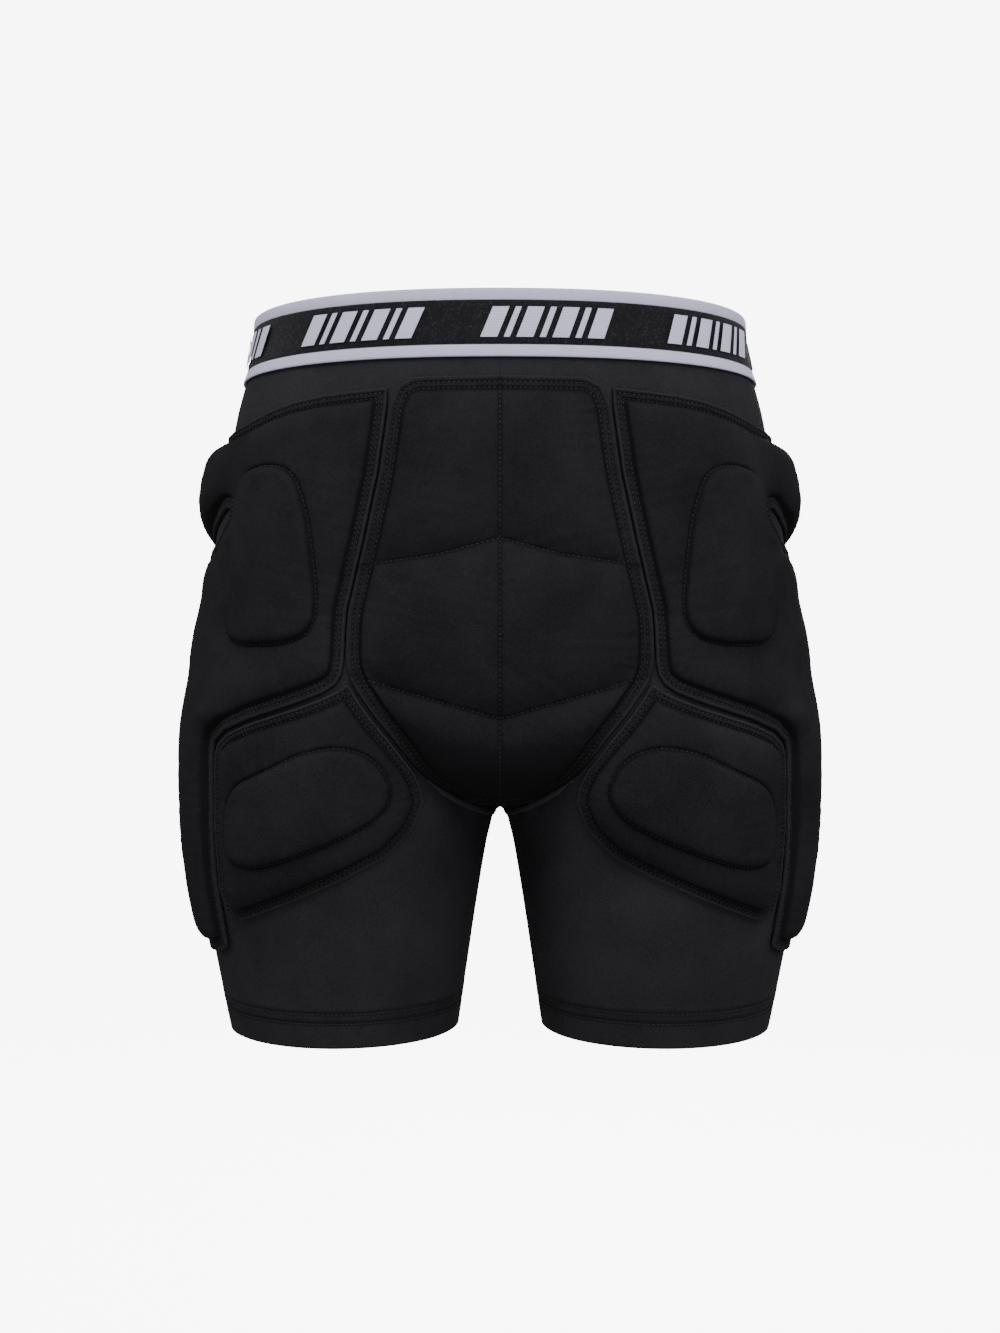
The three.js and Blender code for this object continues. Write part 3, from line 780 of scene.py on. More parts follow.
def knit(name, colour, chosen, roughness, wale, relief):
    """Stretch knit: fine upright wales crossed by courses, a faint cloudiness, and the painted
    highlight and painted shade that each piece carries in a point attribute.
    """
    made, tree, skin = blank(name, IOR=1.5, Specular_IOR_Level=0.02)
    lay = add(tree, "ShaderNodeUVMap", uv_map="cloth")
    # The wale and course pitch are in mm.
    bands = []
    for way, pitch in (("X", wale), ("Y", wale * 0.8)):
        fit = add(tree, "ShaderNodeMapping", {"Scale": (WAVE / (pitch * MM),) * 3},
                  {"Vector": lay.outputs["UV"]})
        bands.append(add(tree, "ShaderNodeTexWave", {
            "Scale": 1.0, "Distortion": 1.2, "Detail": 1.0, "Detail Scale": 2.0},
            {"Vector": fit.outputs["Vector"]}, wave_type="BANDS", bands_direction=way))
    loops = add(tree, "ShaderNodeMath", links={0: bands[0].outputs["Fac"],
                                               1: bands[1].outputs["Fac"]},
                operation="MULTIPLY")
    place = add(tree, "ShaderNodeTexCoord")
    grain = add(tree, "ShaderNodeTexNoise", {"Scale": 900.0, "Detail": 3.0},
                {"Vector": place.outputs["Object"]})
    clouds = add(tree, "ShaderNodeTexNoise", {"Scale": 22.0, "Detail": 3.0, "Roughness": 0.6},
                 {"Vector": place.outputs["Object"]})
    tone = add(tree, "ShaderNodeMapRange", {"From Min": 0.3, "From Max": 0.7, "To Min": 0.15,
                                            "To Max": 0.6}, {"Value": clouds.outputs["Fac"]})
    # The point attribute read here holds painted highlight and painted shade, added to the tone.
    shading_paint = add(tree, "ShaderNodeAttribute", attribute_name="painted_shading")
    tone = add(tree, "ShaderNodeMath", links={0: tone.outputs["Result"],
                                              1: shading_paint.outputs["Fac"]}, operation="ADD")
    speck = add(tree, "ShaderNodeMapRange", {"From Min": 0.3, "From Max": 0.75, "To Min": -0.2,
                                             "To Max": 0.25}, {"Value": grain.outputs["Fac"]})
    tone = add(tree, "ShaderNodeMath", links={0: tone.outputs["Value"],
                                              1: speck.outputs["Result"]}, operation="ADD",
               use_clamp=True)
    mix = add(tree, "ShaderNodeMix", {6: (*linear(colour), 1), 7: tone_of(chosen)},
              {0: tone.outputs["Value"]}, data_type="RGBA")
    tree.links.new(mix.outputs[2], skin.inputs["Base Color"])
    rough = add(tree, "ShaderNodeMapRange", {"To Min": roughness - 0.07,
                                             "To Max": roughness + 0.07},
                {"Value": grain.outputs["Fac"]})
    tree.links.new(rough.outputs["Result"], skin.inputs["Roughness"])
    rise = add(tree, "ShaderNodeMath", {1: 0.6}, {0: grain.outputs["Fac"],
                                                  2: loops.outputs["Value"]},
               operation="MULTIPLY_ADD")
    bump = add(tree, "ShaderNodeBump", {"Strength": relief, "Distance": 0.0004},
               {"Height": rise.outputs["Value"]})
    tree.links.new(bump.outputs["Normal"], skin.inputs["Normal"])
    return made


def build_brushed_cover_knit():
    # Nylon-elastane cover cloth brushed on its face: matt near-black, so only the crowns and
    # the rolled rims catch light; loops drawn at 1.1 mm where the real ones are near 0.5.
    return knit("brushed_cover_knit", "18181a", "cover_colour", 0.80, 1.1, 0.22)


def build_warp_knit_jersey():
    # Smooth warp-knit jersey of the undershorts: a shade lighter and a little silkier than
    # the pads' cover; wales drawn at 1.2 mm where the real ones are near 0.6.
    return knit("warp_knit_jersey", "212123", "cloth_colour", 0.74, 1.2, 0.18)


def build_polyester_sewing_thread():
    # Twisted black polyester thread: darker than the cloth and glossier, so stitches read as
    # black dashes that glint on top.
    made, tree, skin = blank("polyester_sewing_thread", IOR=1.53)
    place = add(tree, "ShaderNodeTexCoord")
    ply = add(tree, "ShaderNodeTexNoise", {"Scale": 2500.0, "Detail": 1.0},
              {"Vector": place.outputs["Object"]})
    mix = add(tree, "ShaderNodeMix", {6: (*linear("050506"), 1), 7: (*linear("161619"), 1)},
              {0: ply.outputs["Fac"]}, data_type="RGBA")
    tree.links.new(mix.outputs[2], skin.inputs["Base Color"])
    rough = add(tree, "ShaderNodeMapRange", {"To Min": 0.6, "To Max": 0.8},
                {"Value": ply.outputs["Fac"]})
    tree.links.new(rough.outputs["Result"], skin.inputs["Roughness"])
    return made


def build_woven_waist_elastic():
    # Woven elastic: hard ribs across the band over rubber warp, near-black in the middle with
    # specks of the pale yarn showing through, and a pale stripe woven along each edge.
    made, tree, skin = blank("woven_waist_elastic", IOR=1.5, Sheen_Weight=0.03,
                             Specular_IOR_Level=0.15)
    lay = add(tree, "ShaderNodeUVMap", uv_map="cloth")
    split = add(tree, "ShaderNodeSeparateXYZ", links={"Vector": lay.outputs["UV"]})
    stripe = bpy.context.scene.shorts_sizes.stripe_height
    fit = add(tree, "ShaderNodeMapping", {"Scale": (WAVE / (1.15 * MM),) * 3},
              {"Vector": lay.outputs["UV"]})
    ribs = add(tree, "ShaderNodeTexWave", {"Scale": 1.0, "Distortion": 0.3},
               {"Vector": fit.outputs["Vector"]}, wave_type="BANDS", bands_direction="X")
    fit = add(tree, "ShaderNodeMapping", {"Scale": (WAVE / (0.95 * MM),) * 3},
              {"Vector": lay.outputs["UV"]})
    picks = add(tree, "ShaderNodeTexWave", {"Scale": 1.0, "Distortion": 0.3},
                {"Vector": fit.outputs["Vector"]}, wave_type="BANDS", bands_direction="Y")
    weave = add(tree, "ShaderNodeMath", links={0: ribs.outputs["Fac"],
                                               1: picks.outputs["Fac"]}, operation="MULTIPLY")
    fray = add(tree, "ShaderNodeMath", {1: 0.0005, 2: -0.00025},
               {0: ribs.outputs["Fac"]}, operation="MULTIPLY_ADD")
    level = add(tree, "ShaderNodeMath", links={0: split.outputs["Y"],
                                               1: fray.outputs["Value"]}, operation="ADD")
    upper = add(tree, "ShaderNodeMath", {1: -stripe}, {0: level.outputs["Value"]},
                operation="GREATER_THAN")
    lower = add(tree, "ShaderNodeMath", {1: stripe - BAND_HEIGHT * MM}, {0: level.outputs["Value"]},
                operation="LESS_THAN")
    pale = add(tree, "ShaderNodeMath", links={0: upper.outputs["Value"],
                                              1: lower.outputs["Value"]}, operation="MAXIMUM")
    cell = add(tree, "ShaderNodeMapping", {"Scale": (1 / 0.0009, 1 / 0.0011, 1)},
               {"Vector": lay.outputs["UV"]})
    whole = add(tree, "ShaderNodeVectorMath", operation="FLOOR",
                links={0: cell.outputs["Vector"]})
    specks = add(tree, "ShaderNodeTexWhiteNoise", noise_dimensions="2D",
                 links={"Vector": whole.outputs["Vector"]})
    shown = add(tree, "ShaderNodeMapRange", {"From Min": 0.72, "From Max": 1.0, "To Max": 0.02},
                {"Value": specks.outputs["Value"]})
    dark = add(tree, "ShaderNodeMix", {6: (*linear("0a0a10"), 1), 7: (*linear("c9c8dc"), 1)},
               {0: shown.outputs["Result"]}, data_type="RGBA")
    light = add(tree, "ShaderNodeMix", {6: (*linear("b4b3cf"), 1), 7: tone_of("stripe_colour")},
                {0: weave.outputs["Value"]}, data_type="RGBA")
    mix = add(tree, "ShaderNodeMix", links={0: pale.outputs["Value"], 6: dark.outputs[2],
                                            7: light.outputs[2]}, data_type="RGBA")
    tree.links.new(mix.outputs[2], skin.inputs["Base Color"])
    rough = add(tree, "ShaderNodeMapRange", {"To Min": 0.72, "To Max": 0.58},
                {"Value": weave.outputs["Value"]})
    tree.links.new(rough.outputs["Result"], skin.inputs["Roughness"])
    bump = add(tree, "ShaderNodeBump", {"Strength": 0.5, "Distance": 0.0004},
               {"Height": weave.outputs["Value"]})
    tree.links.new(bump.outputs["Normal"], skin.inputs["Normal"])
    return made


def build_pale_motif_yarn():
    # The motif is the same pale polyester yarn as the stripes, floated over the ribs.
    made, tree, skin = blank("pale_motif_yarn", IOR=1.5, Roughness=0.62, Sheen_Weight=0.15)
    place = add(tree, "ShaderNodeTexCoord")
    fit = add(tree, "ShaderNodeMapping", {"Scale": (WAVE / (0.9 * MM),) * 3},
              {"Vector": place.outputs["Object"]})
    yarn = add(tree, "ShaderNodeTexWave", {"Scale": 1.0, "Distortion": 0.6},
               {"Vector": fit.outputs["Vector"]}, wave_type="BANDS", bands_direction="Z")
    mix = add(tree, "ShaderNodeMix", {6: (*linear("aaa9c6"), 1), 7: (*linear("d6d5ec"), 1)},
              {0: yarn.outputs["Fac"]}, data_type="RGBA")
    tree.links.new(mix.outputs[2], skin.inputs["Base Color"])
    bump = add(tree, "ShaderNodeBump", {"Strength": 0.45, "Distance": 0.0003},
               {"Height": yarn.outputs["Fac"]})
    tree.links.new(bump.outputs["Normal"], skin.inputs["Normal"])
    return made


def build_white_studio_paper():
    # Matt white background paper. Its glow stands for the lamps that wash it from behind,
    # so it reads as plain white on every side.
    made, tree, skin = blank("white_studio_paper", IOR=1.45, Roughness=0.95,
                             Specular_IOR_Level=0.1, Emission_Color=(1, 1, 1, 1),
                             Emission_Strength=7.5)
    place = add(tree, "ShaderNodeTexCoord")
    fibre = add(tree, "ShaderNodeTexNoise", {"Scale": 3.0}, {"Vector": place.outputs["Object"]})
    mix = add(tree, "ShaderNodeMix", {6: (*linear("f4f4f5"), 1), 7: (*linear("fafafa"), 1)},
              {0: fibre.outputs["Fac"]}, data_type="RGBA")
    tree.links.new(mix.outputs[2], skin.inputs["Base Color"])
    return made


FINISHES = {
    "brushed_cover_knit": build_brushed_cover_knit,
    "warp_knit_jersey": build_warp_knit_jersey,
    "polyester_sewing_thread": build_polyester_sewing_thread,
    "woven_waist_elastic": build_woven_waist_elastic,
    "pale_motif_yarn": build_pale_motif_yarn,
    "white_studio_paper": build_white_studio_paper,
}


def material(name):
    """A material by its name, made the first time it is asked for."""
    return bpy.data.materials.get(name) or FINISHES[name]()


def bend(obj):
    """Bakes the piece's place into its mesh."""
    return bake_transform(obj)


def finish_panel(made, side, body, nodes):
    """Puts a worked-out panel and its stitches on one side, or in the middle."""
    hand = SIDES.get(side, 1)
    tail = "_" + side if side in SIDES else ""
    faces = made["faces"] if hand > 0 else [f[::-1] for f in made["faces"]]
    pad = put(made["name"] + tail, made["verts"] * [hand, 1, 1], faces,
              material("brushed_cover_knit"), made["uv"], {"painted_shading": made["painted_shading"]})
    thread = stitched(made["name"] + "_stitches" + tail, made["paths"], hand)
    for piece in (pad, thread):
        if body == "bend":
            bend(piece)
        else:
            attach(piece, body)
    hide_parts(*nodes)
    return pad


# ---------------------------------------------------------------- the cloth of the shorts
def half_cloth():
    """The cloth over the wearer's left half: a net drawn on the form, cut at the middle."""
    step = 3.4
    # A box round the left half, past the middle and past each end that is cut off later.
    low, high = np.array([-8.0, -132.0, -452.0]), np.array([206.0, 152.0, -22.0])
    n = np.ceil((high - low) / step).astype(int) + 1
    axes = [low[i] + step * np.arange(n[i]) for i in range(3)]
    grid = np.stack(np.meshgrid(*axes, indexing="ij"), -1).reshape(-1, 3)
    inside = (gap(grid, False) < CLOTH_FACE).reshape(n)
    corners = np.zeros(n - 1, int)
    for i in (0, 1):
        for j in (0, 1):
            for k in (0, 1):
                corners += inside[i : n[0] - 1 + i, j : n[1] - 1 + j, k : n[2] - 1 + k]
    mixed = (corners > 0) & (corners < 8)
    number = np.full(mixed.shape, -1)
    number[mixed] = np.arange(mixed.sum())
    verts = (np.argwhere(mixed) + 0.5) * step + low
    faces = []
    for axis in range(3):
        a, b = [(1, 2), (2, 0), (0, 1)][axis]
        first = [slice(None)] * 3
        second = [slice(None)] * 3
        first[axis], second[axis] = slice(0, -1), slice(1, None)
        change = inside[tuple(first)] != inside[tuple(second)]
        for cell in np.argwhere(change):
            if cell[a] == 0 or cell[b] == 0:
                continue
            if cell[a] >= number.shape[a] or cell[b] >= number.shape[b]:
                continue
            quad = []
            for da, db in ((1, 1), (0, 1), (0, 0), (1, 0)):
                at = cell.copy()
                at[a] -= da
                at[b] -= db
                quad.append(number[tuple(at)])
            if min(quad) >= 0:
                faces.append(quad if inside[tuple(cell)] else quad[::-1])
    faces = np.array(faces)
    verts = settle(verts, CLOTH_FACE, 4, False)
    ends = np.concatenate([faces[:, [0, 1]], faces[:, [1, 2]], faces[:, [2, 3]],
                           faces[:, [3, 0]]])
    for _ in range(10):
        total, count = np.zeros_like(verts), np.zeros(len(verts))
        np.add.at(total, ends[:, 0], verts[ends[:, 1]])
        np.add.at(total, ends[:, 1], verts[ends[:, 0]])
        np.add.at(count, ends.ravel(), 1)
        verts = settle((verts + total / count[:, None]) / 2, CLOTH_FACE, 2, False)
    return verts, faces


def cut_cloth(verts, faces):
    """The net cut at the middle, the waist and the hem, with close rows at the hem."""
    mesh = bmesh.new()
    points = [mesh.verts.new(v) for v in verts.tolist()]
    for face in faces:
        mesh.faces.new([points[i] for i in face])
    # Place and direction of each cut, and whether what lies beyond it goes.
    cuts = [((0, 0, 0), (-1, 0, 0), True), ((0, 0, -31), (0, 0, 1), True),
            ((0, 0, HEM_LEVEL), (0, 0, -1), True)]
    cuts += [((0, 0, z), (0, 0, -1), False) for z in
             (-415, -416.5, -417.7, -418.5, -419.3, -420.5, -422.5, -423.7, -424.5, -425.3,
              -426.5, -439)]
    for place, way, clear in cuts:
        bmesh.ops.bisect_plane(mesh, geom=[*mesh.verts, *mesh.edges, *mesh.faces], dist=0.02,
                               plane_co=place, plane_no=way, clear_outer=clear)
    bmesh.ops.remove_doubles(mesh, verts=mesh.verts, dist=0.05)
    bmesh.ops.triangulate(mesh, faces=[f for f in mesh.faces if len(f.verts) > 4])
    mesh.verts.index_update()
    out = np.array([v.co[:] for v in mesh.verts])
    got = [[v.index for v in f.verts] for f in mesh.faces]
    mesh.free()
    return out, got


def hem_lift(z):
    """How the turned-up hem stands proud, with its two rows of stitches drawn in."""
    turn = 0.3 * ease((-412 - z) / 6)
    for row, deep in zip(HEM_ROWS, (0.35, 0.55)):
        turn = turn - deep * np.exp(-(((z - row) / 1.3) ** 2))
    return turn


def tube_of(row, count=240):
    """Points of the left leg's section at a level, and the way out from each."""
    turn = np.linspace(0, 2 * math.pi, count, endpoint=False)
    away = np.stack([np.sin(turn), -np.cos(turn), 0 * turn], 1)
    level = np.full(count, float(row))
    middle, _, shift, _ = leg_sizes(level)
    p = np.stack([middle, shift, level], 1) + away * 130
    for _ in range(60):
        p -= away * (gap(p, False) * 0.85)[:, None]
    return p, outward(p, 2.0, False)


class ShortsSizes(bpy.types.PropertyGroup):
    """Sizes and colours of what is sewn and woven on the shorts."""

    rim_width: bpy.props.FloatProperty(
        name="Rim width", description="Flat stitched edge round each pad",
        default=0.0068, min=0.004, max=0.010, unit="LENGTH")
    rim_thickness: bpy.props.FloatProperty(
        name="Rim thickness", description="Thickness of that edge",
        default=0.0026, min=0.001, max=0.004, unit="LENGTH")
    belly_foam: bpy.props.FloatProperty(
        name="Belly foam", description="How far the belly pad stands above its rim",
        default=0.0052, min=0.002, max=0.010, unit="LENGTH")
    hip_foam: bpy.props.FloatProperty(
        name="Hip foam", description="How far the hip pad stands above its rim",
        default=0.0062, min=0.002, max=0.012, unit="LENGTH")
    side_foam: bpy.props.FloatProperty(
        name="Side foam", description="How far the outer thigh pad stands above its rim",
        default=0.0116, min=0.004, max=0.018, unit="LENGTH")
    thigh_foam: bpy.props.FloatProperty(
        name="Thigh foam", description="How far the thigh pad stands above its rim",
        default=0.0066, min=0.002, max=0.012, unit="LENGTH")
    tail_foam: bpy.props.FloatProperty(
        name="Tailbone foam", description="How far the tailbone pad stands above its rim",
        default=0.0098, min=0.004, max=0.016, unit="LENGTH")
    oval_rise: bpy.props.FloatProperty(
        name="Oval rise", description="How far the raised ovals stand above their pads",
        default=0.0042, min=0.0, max=0.007, unit="LENGTH")
    thread_width: bpy.props.FloatProperty(
        name="Thread width", description="Width of one stitch of thread",
        default=0.00062, min=0.0003, max=0.0012, unit="LENGTH")
    stripe_height: bpy.props.FloatProperty(
        name="Stripe height", description="Height of the pale stripes on the waistband",
        default=0.0070, min=0.002, max=0.012, unit="LENGTH")
    cloth_thickness: bpy.props.FloatProperty(
        name="Cloth thickness", description="Thickness of the undershorts' cloth",
        default=0.0013, min=0.0005, max=0.003, unit="LENGTH")
    motif_repeats: bpy.props.IntProperty(
        name="Motif repeats", description="Times that the motif is woven round the waistband",
        default=8, min=4, max=16)
    cover_colour: bpy.props.FloatVectorProperty(
        name="Cover colour", description="Lighter tone of the brushed cloth over the pads",
        default=linear("29292d"), min=0, max=1, subtype="COLOR")
    cloth_colour: bpy.props.FloatVectorProperty(
        name="Cloth colour", description="Lighter tone of the undershorts' jersey",
        default=linear("323236"), min=0, max=1, subtype="COLOR")
    stripe_colour: bpy.props.FloatVectorProperty(
        name="Stripe colour", description="Lighter tone of the pale stripes on the waistband",
        default=linear("dcdbf0"), min=0, max=1, subtype="COLOR")


class SHORTS_OT_stage(bpy.types.Operator):
    """Makes the camera, the pale floor with its backdrop, and the soft lights"""

    bl_idname = "shorts.stage"
    bl_label = "Stage"

    def execute(self, context):
        scene = context.scene
        camera = bpy.data.objects.new("Camera", bpy.data.cameras.new("Camera"))
        camera.data.lens, camera.data.sensor_width = 44.3, 36.0
        camera.location, camera.rotation_euler = (0, -1.040, -0.215), (math.pi / 2, 0, 0)
        scene.collection.objects.link(camera)
        scene.camera = camera
        # A round floor that turns up into a backdrop on every side.
        floor, flat, curve, wall = -0.95, 2.4, 1.2, 4.0
        rows = [(0.5, floor), (1.5, floor), (flat, floor)]
        rows += [(flat + curve * math.sin(a), floor + curve - curve * math.cos(a))
                 for a in np.linspace(0.1, math.pi / 2, 14)] + [(flat + curve, wall)]
        turns = np.linspace(0, 2 * math.pi, 72, endpoint=False)
        verts = [(r * math.cos(t), r * math.sin(t), z) for r, z in rows for t in turns]
        n = len(turns)
        faces = [tuple(range(n))]
        faces += [(n * i + j, n * i + n + j, n * i + n + (j + 1) % n, n * i + (j + 1) % n)
                  for i in range(len(rows) - 1) for j in range(n)]
        paper = put("floor", np.array(verts) / MM, faces, material("white_studio_paper"))
        # The paper is lit for itself alone: it throws no glare on the black cloth.
        paper.visible_diffuse = paper.visible_glossy = paper.visible_shadow = False
        world = bpy.data.worlds.new("Studio")
        world.use_nodes = True
        world.node_tree.nodes["Background"].inputs["Color"].default_value = (1, 1, 1, 1)
        world.node_tree.nodes["Background"].inputs["Strength"].default_value = 0.33
        scene.world = world
        # Name, place in m, width in m and power in W.
        lamps = [("Key", (-0.5, -1.2, 1.6), 1.0, 32.0), ("Fill", (0.9, -1.4, 1.2), 1.0, 22.0),
                 ("Low", (0.0, -1.7, -0.8), 1.2, 9.0), ("Rear", (0.3, 1.7, 0.6), 1.2, 30.0),
                 ("Rim_left", (1.6, 0.3, 0.4), 0.9, 8.0),
                 ("Rim_right", (-1.6, 0.3, 0.4), 0.9, 8.0)]
        for name, place, size, power in lamps:
            lamp = bpy.data.lights.new(name, "AREA")
            lamp.shape, lamp.size, lamp.energy = "SQUARE", size, power
            obj = bpy.data.objects.new(name, lamp)
            obj.location = place
            obj.visible_camera = False
            aim = Vector((0, 0, -0.2)) - Vector(place)
            obj.rotation_euler = aim.to_track_quat("-Z", "Y").to_euler()
            scene.collection.objects.link(obj)
        return {"FINISHED"}


class SHORTS_OT_cloth(bpy.types.Operator):
    """Makes the stretch cloth in two halves, its hems and its crotch seams"""

    bl_idname = "shorts.cloth"
    bl_label = "Cloth"

    def execute(self, context):
        sizes = context.scene.shorts_sizes
        verts, faces = cut_cloth(*half_cloth())
        middle = np.abs(verts[:, 0]) < 0.03
        out = outward(verts, 2.0, False)
        z = verts[:, 2]
        lift = hem_lift(z)
        soft = ease((z + 330) / 60) * ease((-40 - z) / 40) + ease((-300 - z) / 60)
        lift = lift + 0.25 * soft * ripple(verts[:, 1] * 0.07 + verts[:, 0] * 0.05, z * 0.05, 3.3)
        crease = np.exp(-(((z + 292) / 16) ** 2)) * np.exp(-((np.abs(verts[:, 0]) - 22) / 26) ** 2)
        lift = lift + 0.5 * crease * np.sin((verts[:, 1] + z) * 0.35)
        lift[middle] *= 0.2
        verts = verts + out * lift[:, None]
        verts[middle, 0] = 0
        turn = np.arctan2(verts[:, 0] - AXIS, -verts[:, 1])
        uv = np.stack([turn * ROUND, z], 1)
        # Painted shade: the cloth is painted darker along the two hem rows of stitches.
        shading_paint = -0.9 * sum(np.exp(-((z - row) / 1.6) ** 2) for row in HEM_ROWS)
        for side, hand in SIDES.items():
            turned = [f[::-1] for f in faces] if hand < 0 else faces
            obj = put("cloth_" + side, verts * [hand, 1, 1], turned,
                      material("warp_knit_jersey"), uv, {"painted_shading": shading_paint})
            wall = obj.modifiers.new("Wall", "SOLIDIFY")
            wall.thickness, wall.offset = sizes.cloth_thickness, -1
            graph = context.evaluated_depsgraph_get()
            obj.data = bpy.data.meshes.new_from_object(obj.evaluated_get(graph),
                                                       depsgraph=graph)
            obj.modifiers.clear()
            self.even_middle(obj.data)
            bend(obj)
            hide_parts("front_cloth", "back_cloth", "crotch_gusset", "leg_cloth_" + side)
            fold = self.hem(side, hand)
            self.seams(side, hand)
        return {"FINISHED"}

    def even_middle(self, mesh):
        """Makes the two halves shade as one cloth where they meet."""
        normals = []
        for v in mesh.vertices:
            n = v.normal.copy()
            if abs(v.co.x) < 0.0001 and abs(n.x) < 0.6:
                n.x = 0
                n.normalize()
            normals.append(n)
        mesh.normals_split_custom_set_from_vertices(normals)

    def hem(self, side, hand):
        """The turned-up layer inside the hem."""
        # Its section: level, and distance out from the form.
        rows = []
        for z, lift in ((-440.2, 1.2), (-439.9, 0.1), (-438, -0.15), (-414, -0.15),
                        (-412, -0.2), (-411.8, -0.6), (-412, -1.0), (-438, -1.1),
                        (-440.0, -1.0), (-440.7, -0.2), (-440.6, 0.8)):
            p, out = tube_of(max(z, -444))
            rows.append(p + out * lift)
        n = len(rows[0])
        verts = np.vstack(rows)
        faces = []
        for i in range(len(rows)):
            j = (i + 1) % len(rows)
            for k in range(n):
                m = (k + 1) % n
                faces.append((i * n + k, j * n + k, j * n + m, i * n + m))
        obj = put("hem_fold_" + side, verts * [hand, 1, 1], faces, material("warp_knit_jersey"),
                  np.stack([verts[:, 1], verts[:, 2]], 1), {"painted_shading": 0 * verts[:, 0]})
        face_out(obj)
        bend(obj)
        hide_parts("hem_turnup_" + side)
        return obj

    def seams(self, side, hand):
        """Twin rows at the hem, and the flat seams of the crotch and the seat."""
        paths = []
        for z in HEM_ROWS:
            p, out = tube_of(z)
            paths.append((p + out * (CLOTH_FACE + 0.12), out, True))
        crotch = settle(evenly(np.array(GUSSET_SEAM, float), 2.0, False), CLOTH_FACE, 8, False)
        out = outward(crotch, 2.0, False)
        way = np.gradient(crotch, axis=0)
        across = np.cross(way, out)
        across /= np.linalg.norm(across, axis=1, keepdims=True)
        for shift in (-1.2, 1.2):
            p = settle(crotch + across * shift, 1.7, 3, False)
            paths.append((p, outward(p, 2.0, False), False))
        back = meet("B", [(2.2, z) for z in np.arange(-44, -300, -3.0)])
        back = back[back[:, 2] > -292]
        n = outward(back, 4.0)
        paths.append((back + n * 1.65, n, False))
        thread = stitched("cloth_stitches_" + side, paths, hand, 2.8)
        bend(thread)
        # The crotch seam stands up as a narrow flat welt: its section, across and up.
        ring = [(-1.9, 1.5), (-1.5, 2.15), (-0.6, 2.35), (0.6, 2.35), (1.5, 2.15), (1.9, 1.5),
                (1.2, 1.1), (-1.2, 1.1)]
        verts, faces, uv = [], [], []
        run = np.concatenate([[0], np.cumsum(np.linalg.norm(np.diff(crotch, axis=0), axis=1))])
        for i in range(len(crotch)):
            for a, b in ring:
                verts.append(crotch[i] + across[i] * a + out[i] * (b - CLOTH_FACE))
                uv.append((run[i], a))
        k = len(ring)
        for i in range(len(crotch) - 1):
            for j in range(k):
                m = (j + 1) % k
                faces.append((i * k + j, i * k + m, i * k + k + m, i * k + k + j))
        faces += [tuple(range(k)), tuple(range(len(verts) - 1, len(verts) - k - 1, -1))]
        verts = np.array(verts)
        # The welt is painted paler along its length, a painted highlight on its raised ridge.
        welt = put("crotch_seam_" + side, verts * [hand, 1, 1], faces,
                   material("warp_knit_jersey"), uv, {"painted_shading": np.full(len(verts), 0.9)})
        face_out(welt)
        bend(welt)


